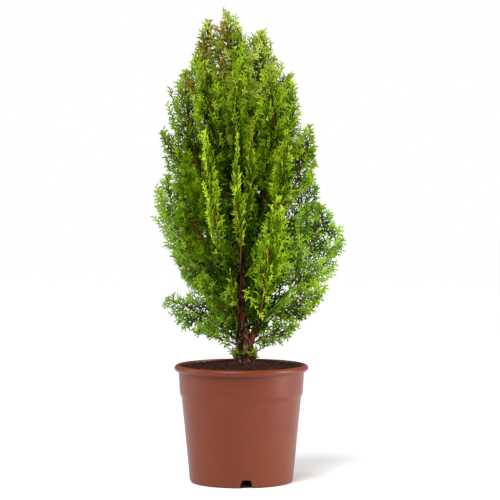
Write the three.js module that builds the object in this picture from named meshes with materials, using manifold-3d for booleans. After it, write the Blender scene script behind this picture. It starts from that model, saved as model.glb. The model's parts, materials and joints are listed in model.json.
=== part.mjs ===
// Potted thuja: an upright oriental thuja of several stems in a moulded plastic nursery pot.
// Millimetres, +Z up. The origin is the middle of the pot's underside, on the floor; -Y is the front.
import * as THREE from 'three';
import { mergeVertices } from 'three/addons/utils/BufferGeometryUtils.js';
import Module from 'manifold-3d';

const wasm = await Module();
wasm.setup();

// ---------- driving dimensions ----------

const GAP = 0.32; // clearance between neighbouring pieces
const TRIM = 0.18; // cut edges closer together than this are joined

const POT = {
  rimRadius: 94.5, // outermost reach of the rolled rim
  height: 165.4, // floor to the top of the rim
  beadRadius: 4.6, // half the thickness of the rolled rim
  neckRadius: 88.6, // wall just under the rim
  stepTop: { radius: 87, z: 126 }, // where the collar starts to draw in
  stepFoot: { radius: 84.4, z: 119 }, // where the plain taper starts
  footRadius: 73, // outer radius just above the floor
  footRounding: 3,
  wall: 1.9,
  skirtWidth: 5.4, // from the outer foot radius to the inside of the foot skirt
  baseRaise: 12, // underside of the base above the floor
  padRadius: 16, // flat pad at the middle of the underside
  segments: 30,
};

const NOTCH = {
  count: 4,
  firstAzimuth: -84.3, // degrees, just right of the front
  footWidth: 19,
  topWidth: 12,
  height: 11.5,
};

const SOIL = {
  edgeZ: 161.5, // compost at the pot wall
  crownZ: 169, // compost round the stem
  flatRadius: 24, // level patch that the stem stands on
  lumps: 1.3, // height of the lumps
};

const TRUNK = {
  sides: 9,
  levels: 12,
  flareRadius: 13.6, // root flare at the compost
  shaftRadius: 6.6, // just above the flare
  tipRadius: 0.9,
  flareHeight: 70,
  path: [
    [5, 0, SOIL.crownZ + GAP],
    [2, 1, 225],
    [-1, 2, 330],
    [-5, 0, 440],
    [-12, 0, 550],
    [-21, 0, 650],
  ],
};

const on = (limb, height) => ({ limb, height });
const limb = (name, start, via, mass, radii) => ({ name, start, via, mass, radii });
const spray = (name, azimuth, foot, tip, sizes) => ({ name, azimuth, foot, tip, turn: 0, ...sizes });

// Each limb leaves its parent at a height and passes its bends to the foot of a mass; radii are at its two ends.
const LIMBS = [
  limb('stem_right', on('trunk', 186), [[21, -3, 215], [30, 0, 300], [31, 2, 410]], 'plume_top_right', [5.4, 2.2]),
  limb('stem_left', on('trunk', 192), [[-15, 9, 235], [-33, 12, 310]], 'plume_left', [4.8, 2.2]),
  limb('stem_back', on('trunk', 190), [[0, 22, 235], [-4, 33, 320]], 'plume_back', [4.6, 2.2]),
  limb('stem_back_right', on('stem_right', 212), [[30, 18, 250], [38, 26, 330]], 'plume_back_right', [4.2, 2]),
  limb('stem_front_left', on('trunk', 205), [[-9, -15, 240]], 'ribbon_front_left', [3.4, 1.9]),
  limb('stem_front', on('trunk', 232), [[1, -14, 262]], 'ribbon_front', [3, 1.7]),
  limb('stem_front_right', on('stem_right', 206), [[27, -16, 224]], 'ribbon_front_right', [3, 1.7]),
  limb('bough_left_low', on('stem_left', 232), [], 'fan_left_low', [3, 1.7]),
  limb('bough_left_mid', on('stem_left', 300), [], 'fan_left_mid', [2.6, 1.6]),
  limb('bough_left_skirt', on('trunk', 196), [[-14, -2, 206]], 'skirt_left', [2.8, 1.6]),
  limb('bough_right_low', on('stem_right', 220), [], 'fan_right_low', [3.2, 1.8]),
  limb('bough_right_skirt', on('stem_right', 200), [], 'fan_right_under', [2.6, 1.6]),
  limb('bough_right_mid', on('stem_right', 330), [], 'fan_right_mid', [2.6, 1.6]),
  limb('bough_right_top', on('stem_right', 380), [], 'plume_right', [2.4, 1.5]),
  limb('bough_back_left', on('stem_back', 232), [], 'fan_back_left_low', [2.8, 1.6]),
  limb('bough_back_low', on('stem_back', 226), [], 'fan_back_low', [2.6, 1.6]),
];

// Each mass is a flat upright spray of foliage. azimuth is the direction that it grows out in, its foot is either
// on a limb or at [distance from the axis, height], and its tip is given the second way. out and back are its
// widths on the outer and the inner side of the line from foot to tip, bow pushes that line outwards, thick is
// across the blade, and turn swings the blade about that line, in degrees.
const MASSES = [
  spray('leader', 180, [2, 505], [20, 663], { out: 27, back: 26, bow: 1, thick: 34 }),
  spray('plume_top_left', 180, [48, 510], [45, 653], { out: 16, back: 15, bow: 4, thick: 28, turn: -14 }),
  spray('plume_top_right', 2, [30, 484], [26, 638], { out: 25, back: 24, bow: 2, thick: 34, turn: 10 }),
  spray('plume_top_front', -84, on('trunk', 468), [14, 617], { out: 22, back: 12, bow: 6, thick: 28, turn: 20 }),
  spray('plume_back', 97, [33, 400], [30, 622], { out: 28, back: 22, bow: 6, thick: 32, turn: 12 }),

  spray('plume_left', 174, [48, 392], [79, 583], { out: 26, back: 28, bow: 7, thick: 36 }),
  spray('fan_left_mid', 188, [54, 376], [114, 494], { out: 12, back: 26, bow: 4, thick: 28, turn: 6 }),
  spray('fan_left_low', 178, [50, 292], [104, 438], { out: 31, back: 26, bow: 10, thick: 30 }),
  spray('fan_left_under', 192, on('stem_left', 246), [100, 322], { out: 18, back: 18, bow: -2, thick: 26 }),
  spray('skirt_left', 177, [20, 212], [112, 250], { out: 23, back: 37, bow: -4, thick: 30, turn: -5 }),
  spray('tuft_left', 190, on('trunk', 188), [47, 209], { out: 10, back: 12, bow: 0, thick: 20, turn: 8 }),

  spray('plume_right', 4, [50, 412], [69, 578], { out: 22, back: 22, bow: 2, thick: 36 }),
  spray('fan_right_mid', -5, [56, 382], [97, 505], { out: 20, back: 24, bow: 8, thick: 30, turn: -8 }),
  spray('fan_right_low', 2, [62, 262], [101, 399], { out: 50, back: 40, bow: 13, thick: 30, turn: 4 }),
  spray('fan_right_under', -9, [34, 226], [122, 276], { out: 21, back: 30, bow: 2, thick: 26 }),
  spray('skirt_right', 10, on('stem_right', 194), [80, 219], { out: 18, back: 16, bow: 0, thick: 24 }),

  spray('ribbon_front_left', -124, [30, 284], [92, 498], { out: 28, back: 18, bow: 4, thick: 20, turn: 8 }),
  spray('ribbon_front', -94, [26, 300], [72, 494], { out: 24, back: 22, bow: 4, thick: 18 }),
  spray('ribbon_inner', -74, on('trunk', 316), [58, 500], { out: 18, back: 16, bow: 6, thick: 18 }),
  spray('ribbon_front_right', -52, [40, 232], [84, 408], { out: 26, back: 26, bow: 6, thick: 28, turn: 12 }),
  spray('ribbon_right_upper', -40, on('stem_right', 346), [82, 500], { out: 22, back: 18, bow: 12, thick: 28 }),
  spray('plume_front_left', -142, on('trunk', 408), [62, 596], { out: 28, back: 24, bow: 16, thick: 34 }),
  spray('plume_front', -96, on('trunk', 430), [44, 590], { out: 22, back: 18, bow: 10, thick: 30, turn: 24 }),
  spray('plume_front_right', -44, on('stem_right', 412), [54, 590], { out: 24, back: 22, bow: 12, thick: 34 }),
  spray('fan_front_left', -149, on('stem_left', 296), [92, 452], { out: 32, back: 26, bow: 12, thick: 30 }),
  spray('skirt_front_left', -138, on('stem_front_left', 216), [76, 296], { out: 20, back: 18, bow: 2, thick: 28 }),
  spray('skirt_front', -105, on('stem_front_left', 222), [56, 300], { out: 14, back: 14, bow: 2, thick: 22 }),
  spray('skirt_front_right', -31, on('stem_right', 212), [80, 272], { out: 18, back: 18, bow: 0, thick: 28 }),

  spray('fan_back_left_low', 150, [36, 256], [98, 372], { out: 34, back: 26, bow: 8, thick: 32 }),
  spray('fan_back_left_mid', 146, on('stem_back', 322), [94, 492], { out: 26, back: 26, bow: 10, thick: 36, turn: 10 }),
  spray('plume_back_left', 138, on('stem_back', 390), [58, 592], { out: 24, back: 24, bow: 8, thick: 34 }),
  spray('fan_back_low', 104, [38, 250], [92, 366], { out: 34, back: 26, bow: 8, thick: 32 }),
  spray('fan_back_mid', 108, on('stem_back', 344), [92, 490], { out: 26, back: 24, bow: 10, thick: 34 }),
  spray('fan_back_right_low', 58, on('stem_back_right', 250), [98, 372], { out: 36, back: 26, bow: 12, thick: 34 }),
  spray('fan_back_right_mid', 62, on('stem_back_right', 340), [96, 496], { out: 26, back: 24, bow: 10, thick: 36,
    turn: -10 }),
  spray('plume_back_right', 40, [48, 408], [56, 590], { out: 26, back: 20, bow: 4, thick: 36 }),
  spray('fan_right_back', 26, on('stem_back_right', 290), [112, 440], { out: 30, back: 30, bow: 10, thick: 34 }),

  spray('inner_low', 88, [17, 206], [22, 415], { out: 34, back: 30, bow: 0, thick: 20, turn: 90 }),
  spray('inner_high', 90, on('trunk', 392), [12, 575], { out: 30, back: 30, bow: 4, thick: 22, turn: 90 }),
];

const FAN = {
  around: 6, // corners of a section through a mass
  along: 8, // sections from foot to tip
  belly: 0.52, // where along its height a mass is widest
  blunt: 0.7, // under 1 rounds the ends off
  ripple: 0.12, // slow swell of the outline
  fringe: 0.07, // in and out of the spray tips along the edge
};

// ---------- finishes ----------

const finish = (color, roughness) => new THREE.MeshStandardMaterial({ color, roughness, metalness: 0 });
const COLOURS = { pot: 0x86442e, soil: 0x34211a, bark: 0x5a3a2a, leaf: [0x7d9733, 0x4c6510, 0x6b8a1e, 0x8fb03a] };

// ---------- small helpers ----------

const radians = THREE.MathUtils.degToRad;

/** The same sequence of numbers from 0 to 1 for the same seed. */
function seeded(seed) {
  let state = seed >>> 0;
  return () => {
    state = (Math.imul(state, 1664525) + 1013904223) >>> 0;
    return state / 4294967296;
  };
}

/** A three.js geometry with shared corners and nothing but positions. */
function welded(geometry) {
  geometry.deleteAttribute('normal');
  geometry.deleteAttribute('uv');
  return mergeVertices(geometry, 1e-4);
}

/** The geometry with each corner sent through move(corner), which changes it in place. */
function reshaped(geometry, move) {
  const shape = welded(geometry);
  const place = shape.attributes.position;
  const corner = new THREE.Vector3();
  for (let i = 0; i < place.count; i += 1) {
    corner.fromBufferAttribute(place, i);
    move(corner, i);
    place.setXYZ(i, corner.x, corner.y, corner.z);
  }
  return shape;
}

function solidOf(geometry) {
  const mesh = new wasm.Mesh({
    numProp: 3,
    vertProperties: new Float32Array(geometry.attributes.position.array),
    triVerts: new Uint32Array(geometry.index.array),
  });
  return new wasm.Manifold(mesh);
}

function geometryOf(solid) {
  const mesh = solid.getMesh();
  const geometry = new THREE.BufferGeometry();
  geometry.setAttribute('position', new THREE.BufferAttribute(mesh.vertProperties, 3));
  geometry.setIndex(new THREE.BufferAttribute(mesh.triVerts, 1));
  geometry.computeVertexNormals();
  return geometry;
}

/** The largest of the separate bodies of a solid. */
function largestBody(solid) {
  const bodies = solid.decompose();
  return bodies.reduce((best, body) => (body.volume() > best.volume() ? body : best));
}

const boxesMeet = (a, b) => [0, 1, 2].every((k) => a.min[k] < b.max[k] && b.min[k] < a.max[k]);

/** The solid less every cutter that reaches it. */
function cutBy(solid, cutters) {
  let left = solid;
  for (const cutter of cutters) {
    if (boxesMeet(left.boundingBox(), cutter.boundingBox())) {
      left = left.subtract(cutter);
    }
  }
  return largestBody(left).simplify(TRIM);
}

// ---------- pot and compost ----------

/** Outer wall radius at a height between the foot and the neck. */
function wallRadius(z) {
  const { stepTop, stepFoot, neckRadius, footRadius, footRounding, height, beadRadius } = POT;
  const stations = [
    [footRounding, footRadius],
    [stepFoot.z, stepFoot.radius],
    [stepTop.z, stepTop.radius],
    [height - 2 * beadRadius, neckRadius],
  ];
  const found = stations.findIndex(([level]) => level >= z);
  const upper = found < 0 ? stations.length - 1 : Math.max(1, found);
  const [z0, r0] = stations[upper - 1];
  const [z1, r1] = stations[upper];
  return THREE.MathUtils.lerp(r0, r1, Math.min(1, (z - z0) / (z1 - z0)));
}

function potProfile() {
  const { rimRadius, height, beadRadius, stepTop, stepFoot, footRadius, footRounding } = POT;
  const { wall, skirtWidth, baseRaise, padRadius } = POT;
  const beadX = rimRadius - beadRadius;
  const beadZ = height - beadRadius;
  const neckZ = beadZ - beadRadius * 0.9;
  const profile = [
    [0, 0],
    [padRadius, 0],
    [padRadius + 1, baseRaise],
    [footRadius - skirtWidth, baseRaise],
    [footRadius - skirtWidth, 0],
    [footRadius - footRounding, 0],
    [footRadius - footRounding * 0.3, footRounding * 0.3],
    [footRadius, footRounding],
    [stepFoot.radius, stepFoot.z],
    [stepTop.radius, stepTop.z],
    [wallRadius(neckZ), neckZ],
  ];
  for (const degrees of [-70, -30, 10, 50, 95]) {
    const turn = radians(degrees);
    profile.push([beadX + beadRadius * Math.cos(turn), beadZ + beadRadius * Math.sin(turn)]);
  }
  profile.push([wallRadius(neckZ) - wall, beadZ]);
  profile.push([stepTop.radius - wall, stepTop.z]);
  profile.push([stepFoot.radius - wall, stepFoot.z]);
  profile.push([wallRadius(baseRaise + wall) - wall, baseRaise + wall]);
  profile.push([0, baseRaise + wall]);
  return profile.map(([r, z]) => new THREE.Vector2(r, z));
}

/** A turned solid about Z from a profile of radius and height. */
function turned(profile, segments) {
  const geometry = new THREE.LatheGeometry(profile, segments);
  geometry.rotateX(Math.PI / 2);
  return geometry;
}

/** The wedge that one drain notch takes out of the foot skirt. */
function notchCutter(azimuth) {
  const below = 2;
  const widthAt = (z) => THREE.MathUtils.lerp(NOTCH.footWidth, NOTCH.topWidth, z / NOTCH.height) / 2;
  const outline = new THREE.Shape([
    new THREE.Vector2(-widthAt(-below), -below),
    new THREE.Vector2(widthAt(-below), -below),
    new THREE.Vector2(widthAt(NOTCH.height), NOTCH.height),
    new THREE.Vector2(-widthAt(NOTCH.height), NOTCH.height),
  ]);
  const geometry = new THREE.ExtrudeGeometry(outline, { depth: 2 * POT.skirtWidth + 6, bevelEnabled: false });
  geometry.rotateX(Math.PI / 2);
  geometry.translate(0, -(POT.footRadius - 2 * POT.skirtWidth), 0);
  geometry.rotateZ(radians(azimuth + 90));
  return solidOf(welded(geometry));
}

function potSolid() {
  let pot = solidOf(welded(turned(potProfile(), POT.segments)));
  for (let i = 0; i < NOTCH.count; i += 1) {
    pot = pot.subtract(notchCutter(NOTCH.firstAzimuth + (i * 360) / NOTCH.count));
  }
  return pot;
}

function soilSolid() {
  const { wall, baseRaise, stepFoot, stepTop } = POT;
  const inside = (z) => wallRadius(z) - wall - GAP;
  const floor = baseRaise + wall + GAP;
  const profile = [
    [0, floor],
    [inside(floor), floor],
    [inside(stepFoot.z), stepFoot.z],
    [inside(stepTop.z), stepTop.z],
    [inside(SOIL.edgeZ), SOIL.edgeZ],
    [70, SOIL.edgeZ + 2.5],
    [48, SOIL.crownZ - 2.5],
    [SOIL.flatRadius, SOIL.crownZ],
    [0, SOIL.crownZ],
  ].map(([r, z]) => new THREE.Vector2(r, z));
  const random = seeded(11);
  return solidOf(reshaped(turned(profile, POT.segments), (corner) => {
    const radius = Math.hypot(corner.x, corner.y);
    const lump = SOIL.lumps * (random() - 0.5) * 2;
    if (corner.z > stepTop.z + 1 && radius > SOIL.flatRadius + 1) {
      corner.z += lump;
    }
  }));
}

// ---------- stems and boughs ----------

const curveThrough = (points) => new THREE.CatmullRomCurve3(points.map((p) => new THREE.Vector3(...p)));

/** The point of a rising curve at a height. */
function pointAtHeight(curve, height) {
  let low = 0;
  let high = 1;
  for (let step = 0; step < 30; step += 1) {
    const middle = (low + high) / 2;
    if (curve.getPoint(middle).z < height) {
      low = middle;
    } else {
      high = middle;
    }
  }
  return curve.getPoint(low);
}

/** A closed tapering limb along a curve; level rings give it a flat cut at its foot. */
function limbSolid(curve, radiusAt, { sides, levels, level, grow }) {
  const reach = curve.getLength();
  const frames = curve.computeFrenetFrames(levels, false);
  const bar = new THREE.CylinderGeometry(1, 1, 1, sides, levels);
  return solidOf(reshaped(bar, (corner) => {
    const step = Math.round((corner.y + 0.5) * levels);
    const t = step / levels;
    const centre = curve.getPointAt(t);
    const across = level ? new THREE.Vector3(1, 0, 0) : frames.normals[step];
    const side = level ? new THREE.Vector3(0, 1, 0) : frames.binormals[step];
    const radius = radiusAt(t * reach, t) + grow;
    const turn = new THREE.Vector2(corner.x, corner.z);
    const tangent = level ? new THREE.Vector3(0, 0, 1) : frames.tangents[step];
    const overrun = grow * (t === 0 ? -1 : Number(t === 1));
    corner.copy(centre).addScaledVector(across, turn.y * radius).addScaledVector(side, turn.x * radius);
    corner.addScaledVector(tangent, overrun);
  }));
}

const trunkCurve = curveThrough(TRUNK.path);

function trunkSolid(grow) {
  const radiusAt = (run, t) => {
    const flare = (TRUNK.flareRadius - TRUNK.shaftRadius) * Math.max(0, 1 - run / TRUNK.flareHeight) ** 1.4;
    return THREE.MathUtils.lerp(TRUNK.shaftRadius, TRUNK.tipRadius, t ** 0.8) + flare;
  };
  return limbSolid(trunkCurve, radiusAt, { sides: TRUNK.sides, levels: TRUNK.levels, level: true, grow });
}

const curves = new Map([['trunk', trunkCurve]]);

/** The point that a start or a foot names: on a limb, or out from the axis in a direction. */
function placeOf(where, azimuth) {
  if (where.limb) {
    return pointAtHeight(curves.get(where.limb), where.height);
  }
  const [reach, height] = where;
  return new THREE.Vector3(reach * Math.cos(radians(azimuth)), reach * Math.sin(radians(azimuth)), height);
}

/** A limb's line from its parent to a little way inside the foot of its mass. */
function limbCurve(row) {
  const entry = massAxis(MASSES.find((mass) => mass.name === row.mass)).getPoint(0.06);
  return curveThrough([placeOf(row.start).toArray(), ...row.via, entry.toArray()]);
}

function limbFromRow(row, grow) {
  const levels = 4 + 2 * row.via.length;
  const radiusAt = (run, t) => THREE.MathUtils.lerp(...row.radii, t);
  return limbSolid(curves.get(row.name), radiusAt, { sides: 6, levels, level: false, grow });
}

// ---------- foliage masses ----------

/** The line from a mass's foot to its tip, bowed outwards. */
function massAxis({ azimuth, foot, tip, bow }) {
  const outward = new THREE.Vector3(Math.cos(radians(azimuth)), Math.sin(radians(azimuth)), 0);
  const start = placeOf(foot, azimuth);
  const end = placeOf(tip, azimuth);
  const run = end.clone().sub(start);
  const side = outward.clone().multiplyScalar(run.z).setZ(-run.dot(outward)).normalize();
  const middle = start.clone().add(end).multiplyScalar(0.5).addScaledVector(side, 2 * bow);
  return new THREE.QuadraticBezierCurve3(start, middle, end);
}

/** A closed, uneven blade round the axis of a mass. */
function massSolid(row, index, grow) {
  const random = seeded(101 + 17 * index);
  const phases = [random(), random(), random(), random()].map((value) => value * 2 * Math.PI);
  const axis = massAxis(row);
  const facing = radians(row.azimuth + row.turn);
  const across = new THREE.Vector3(-Math.sin(facing), Math.cos(facing), 0);
  const skew = Math.log(0.5) / Math.log(FAN.belly);
  const ball = new THREE.SphereGeometry(1, FAN.around, FAN.along);
  return solidOf(reshaped(ball, (corner) => {
    const level = Math.round(((Math.PI - Math.acos(THREE.MathUtils.clamp(corner.y, -1, 1))) / Math.PI) * FAN.along);
    const t = level / FAN.along;
    const turn = Math.atan2(-corner.z, corner.x);
    const end = level === 0 || level === FAN.along;
    const swell = end ? 0 : Math.sin(Math.PI * t ** skew) ** FAN.blunt;
    const ripple = FAN.ripple * (Math.sin(9 * t + turn + phases[0]) + Math.sin(15 * t - 2 * turn + phases[1]));
    const edge = Math.abs(Math.cos(turn)) ** 3;
    const fringe = FAN.fringe * edge * (level % 2 ? 1 : -1);
    const size = swell * (1 + ripple / 2 + fringe);
    const tangent = axis.getTangent(t);
    const outward = new THREE.Vector3().crossVectors(across, tangent);
    const width = Math.cos(turn) > 0 ? row.out : row.back;
    const thick = (row.thick / 2) * (1 + 0.2 * Math.sin(7 * t + phases[2]));
    const wander = end ? 0 : (row.thick / 8) * Math.sin(6 * t + phases[3]);
    corner.copy(axis.getPoint(t));
    corner.addScaledVector(outward, Math.cos(turn) * (width * size + (end ? 0 : grow)));
    corner.addScaledVector(across, Math.sin(turn) * (thick * size + (end ? 0 : grow)) + wander);
    corner.addScaledVector(tangent, grow * (level === 0 ? -1 : Number(level === FAN.along)));
  }));
}

// ---------- assembly ----------

const thuja = new THREE.Group();

function add(name, solid, material) {
  const mesh = new THREE.Mesh(geometryOf(solid), material);
  mesh.name = name;
  thuja.add(mesh);
}

add('pot', potSolid(), finish(COLOURS.pot, 0.42));
add('soil', soilSolid(), finish(COLOURS.soil, 0.98));
add('trunk', trunkSolid(0), finish(COLOURS.bark, 0.9));

const takenUp = [trunkSolid(GAP)];
for (const row of LIMBS) {
  curves.set(row.name, limbCurve(row));
  add(row.name, cutBy(limbFromRow(row, 0), takenUp), finish(COLOURS.bark, 0.9));
  takenUp.push(limbFromRow(row, GAP));
}

MASSES.forEach((row, index) => {
  add(row.name, cutBy(massSolid(row, index, 0), takenUp), finish(COLOURS.leaf[index % COLOURS.leaf.length], 0.7));
  takenUp.push(massSolid(row, index, GAP));
});

export default thuja;
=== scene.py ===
"""Looks of the potted oriental thuja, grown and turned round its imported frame.

The frame gives every place: the limbs' lines, the envelope of each mass of foliage and the
pot's box. The sprays are grown by a seeded branching rule inside those envelopes.
"""

import json
import logging
import math
from collections.abc import Callable, Iterable
from dataclasses import dataclass, field, replace
from enum import Enum
from functools import partial

import bpy
import numpy as np
from bpy.types import ID, Collection, Material, Mesh, Node, NodeSocket, NodeTree, Object
from mathutils import Euler, Matrix, Vector
from mathutils.bvhtree import BVHTree

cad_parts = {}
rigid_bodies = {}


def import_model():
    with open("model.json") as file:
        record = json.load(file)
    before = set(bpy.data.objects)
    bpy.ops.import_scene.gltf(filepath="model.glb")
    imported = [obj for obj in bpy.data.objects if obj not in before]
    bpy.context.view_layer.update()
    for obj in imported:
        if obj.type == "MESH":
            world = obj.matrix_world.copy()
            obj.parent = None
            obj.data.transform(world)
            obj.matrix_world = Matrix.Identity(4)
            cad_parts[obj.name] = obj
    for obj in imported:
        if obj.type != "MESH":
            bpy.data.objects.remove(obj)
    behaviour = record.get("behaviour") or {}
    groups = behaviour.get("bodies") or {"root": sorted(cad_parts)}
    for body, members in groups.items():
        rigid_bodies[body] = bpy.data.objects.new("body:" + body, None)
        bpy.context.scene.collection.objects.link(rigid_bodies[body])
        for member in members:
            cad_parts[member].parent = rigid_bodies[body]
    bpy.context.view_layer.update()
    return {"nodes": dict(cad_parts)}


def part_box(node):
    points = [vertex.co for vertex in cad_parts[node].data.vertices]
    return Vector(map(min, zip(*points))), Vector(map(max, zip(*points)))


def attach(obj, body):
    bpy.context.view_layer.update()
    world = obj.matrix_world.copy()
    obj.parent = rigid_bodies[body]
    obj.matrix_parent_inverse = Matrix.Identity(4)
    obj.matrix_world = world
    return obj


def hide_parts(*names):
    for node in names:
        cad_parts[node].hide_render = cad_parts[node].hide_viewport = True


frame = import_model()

LOG = logging.getLogger("thuja")
BODY = "root"
MM = 0.001
UP = Vector((0.0, 0.0, 1.0))
INWARD = Vector((0.0, 1.0, 0.0))  # from the front of the plant to its back


# ---- small helpers ----


def linear(code: str) -> tuple[float, float, float, float]:
    """Turn an sRGB hex code into linear colour.

    Args:
        code: Six hex digits, with or without a leading #.

    Returns:
        Red, green, blue and alpha for a colour socket.
    """
    digits = code.lstrip("#")
    channels = [int(digits[i:i + 2], 16) / 255 for i in (0, 2, 4)]
    turned = [c / 12.92 if c <= 0.04045 else ((c + 0.055) / 1.055) ** 2.4 for c in channels]
    return (*turned, 1.0)


def out(node: Node, name: str | None = None) -> NodeSocket:
    """Give a node's first live output, or the live output of that name."""
    return next(s for s in node.outputs if s.enabled and name in (None, s.name))


def fill(tree: NodeTree, node: Node, inputs: dict) -> None:
    """Set or link a node's inputs.

    Args:
        tree: The tree that holds the node.
        node: The node.
        inputs: Input name or number to a value, or to the socket or node that feeds it.
    """
    for key, value in inputs.items():
        live = [s for s in node.inputs if s.name == key and s.enabled]
        socket = node.inputs[key] if isinstance(key, int) else live[0]
        if isinstance(value, Node):
            value = out(value)
        if isinstance(value, NodeSocket):
            tree.links.new(value, socket)
        else:
            socket.default_value = value


def add_node(tree: NodeTree, kind: str, inputs: dict | None = None, **settings: object) -> Node:
    """Add a node, set its properties and fill or link its inputs.

    Args:
        tree: The tree that takes the node.
        kind: The node's type name.
        inputs: The same as for fill.
        **settings: The node's own properties.

    Returns:
        The new node.
    """
    node = tree.nodes.new(kind)
    for key, value in settings.items():
        setattr(node, key, value)
    fill(tree, node, inputs or {})
    return node


def geometry_tree(name: str, sizes: dict[str, float | int]) -> tuple[NodeTree, Node]:
    """Start a geometry tree with a geometry input and named size inputs.

    Args:
        name: The tree's name.
        sizes: Input name to its default; whole numbers become integer inputs.

    Returns:
        The tree and its group input node.
    """
    tree = bpy.data.node_groups.new(name, "GeometryNodeTree")
    tree.interface.new_socket("Geometry", in_out="INPUT", socket_type="NodeSocketGeometry")
    for label, value in sizes.items():
        kind = "NodeSocketInt" if isinstance(value, int) else "NodeSocketFloat"
        tree.interface.new_socket(label, in_out="INPUT", socket_type=kind).default_value = value
    tree.interface.new_socket("Geometry", in_out="OUTPUT", socket_type="NodeSocketGeometry")
    return tree, tree.nodes.new("NodeGroupInput")


def finish_tree(tree: NodeTree, shape: Node, materials: list[Material], tone: Node | None = None) -> None:
    """End a geometry tree: realise its instances and deal out its materials.

    Args:
        tree: The tree.
        shape: The node that makes its shape.
        materials: One material, or one for each tone.
        tone: The node that gives each face's tone, where there are several.
    """
    add = partial(add_node, tree)
    shape = add("GeometryNodeRealizeInstances", {"Geometry": shape})
    for place, material in enumerate(materials):
        chosen = True if not place else add("FunctionNodeCompare", {
            "A": tone, "B": place}, data_type="INT", operation="EQUAL")
        shape = add("GeometryNodeSetMaterial", {
            "Geometry": shape, "Selection": chosen, "Material": material})
    add("NodeGroupOutput", {"Geometry": shape})


def realised(name: str, mesh: Mesh, tree: NodeTree, sizes: dict[str, float | int]) -> Object:
    """Run a geometry tree on a mesh and keep the result as a plain mesh object.

    Args:
        name: The finished object's name.
        mesh: What the tree starts from.
        tree: The geometry tree.
        sizes: Values for the tree's named inputs.

    Returns:
        An object at the origin without modifiers.
    """
    carrier = placed(name + "_seed", mesh)
    modifier = carrier.modifiers.new("Growth", "NODES")
    modifier.node_group = tree
    sockets = {item.name: item.identifier for item in tree.interface.items_tree if item.in_out == "INPUT"}
    for label, value in sizes.items():
        modifier[sockets[label]] = value
    depsgraph = bpy.context.evaluated_depsgraph_get()
    made = bpy.data.meshes.new_from_object(carrier.evaluated_get(depsgraph), depsgraph=depsgraph)
    bpy.data.objects.remove(carrier)
    made.name = name
    return placed(name, made)


def placed(name: str, mesh: Mesh) -> Object:
    """Put a mesh in the scene.

    Args:
        name: The object's name.
        mesh: Its mesh.

    Returns:
        The object, at the origin.
    """
    piece = bpy.data.objects.new(name, mesh)
    bpy.context.scene.collection.objects.link(piece)
    return piece


def mesh_of(name: str, corners: Iterable, faces: Iterable, edges: Iterable = ()) -> Mesh:
    """Make a mesh.

    Args:
        name: The mesh's name.
        corners: Its corners in metres.
        faces: Corner numbers of each face.
        edges: Corner numbers of each loose edge.

    Returns:
        The mesh.
    """
    mesh = bpy.data.meshes.new(name)
    mesh.from_pydata([tuple(c) for c in corners], [tuple(e) for e in edges], [tuple(f) for f in faces])
    mesh.update()
    return mesh


def store(mesh: Mesh, name: str, data_type: str, domain: str, values: Iterable) -> None:
    """Store one value for each point or face of a mesh.

    Args:
        mesh: The mesh.
        name: The attribute's name.
        data_type: INT, FLOAT or FLOAT_VECTOR.
        domain: POINT or FACE.
        values: The values in order.
    """
    layer = mesh.attributes.new(name, data_type, domain)
    key = "vector" if data_type == "FLOAT_VECTOR" else "value"
    kind = np.int32 if data_type == "INT" else np.float32
    layer.data.foreach_set(key, np.asarray(values, kind).ravel())


def turned_skin(outline: list[tuple[float, float]], sides: int, rising: bool,
                shaped: Callable[[float, float, float], float] | None = None) -> tuple[list, list]:
    """Turn an outline about the vertical axis into a closed skin that faces outwards.

    Args:
        outline: Radius and height in mm, from one point of the axis to another.
        sides: How many sides the skin has.
        rising: Whether the outline runs up the outside of the shape.
        shaped: Gives a point's height from its azimuth in degrees, radius and plain height.

    Returns:
        The corners in metres, and the faces.
    """
    inner = outline[1:-1]
    rows = len(inner)
    last = 1 + sides * rows
    corners = [(0.0, 0.0, outline[0][1] * MM)]
    faces = []
    for side in range(sides):
        turn = 2 * math.pi * side / sides
        for radius, height in inner:
            level = shaped(360 * side / sides, radius, height) if shaped else height
            corners.append((radius * MM * math.cos(turn), radius * MM * math.sin(turn), level * MM))
        here = 1 + side * rows
        there = 1 + (side + 1) % sides * rows
        faces.append((0, here, there))
        faces += [(here + k, here + k + 1, there + k + 1, there + k) for k in range(rows - 1)]
        faces.append((here + rows - 1, last, there + rows - 1))
    corners.append((0.0, 0.0, outline[-1][1] * MM))
    if rising:
        faces = [(face[0], *face[:0:-1]) for face in faces]
    return corners, faces


def hand_over(piece: Object, slot: str, *nodes: str) -> None:
    """Fix a finished piece to the plant, hide the frame's nodes that it stands for and log its triangles.

    Args:
        piece: The piece.
        slot: The record's material slot that its finish is from; not used.
        *nodes: The frame's nodes that it stands for.
    """
    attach(piece, BODY)
    if nodes:
        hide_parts(*nodes)
    triangles = sum(len(face.vertices) - 2 for face in piece.data.polygons)
    LOG.info("%s: %d triangles", piece.name, triangles)


# ---- reading the frame ----


def soup(node: str) -> np.ndarray:
    """Give a node's triangles.

    Args:
        node: The node's name.

    Returns:
        Corner positions, (count, 3, 3).
    """
    mesh = frame["nodes"][node].data
    mesh.calc_loop_triangles()
    corners = np.array([v.co[:] for v in mesh.vertices])
    return corners[np.array([t.vertices[:] for t in mesh.loop_triangles])]


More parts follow.
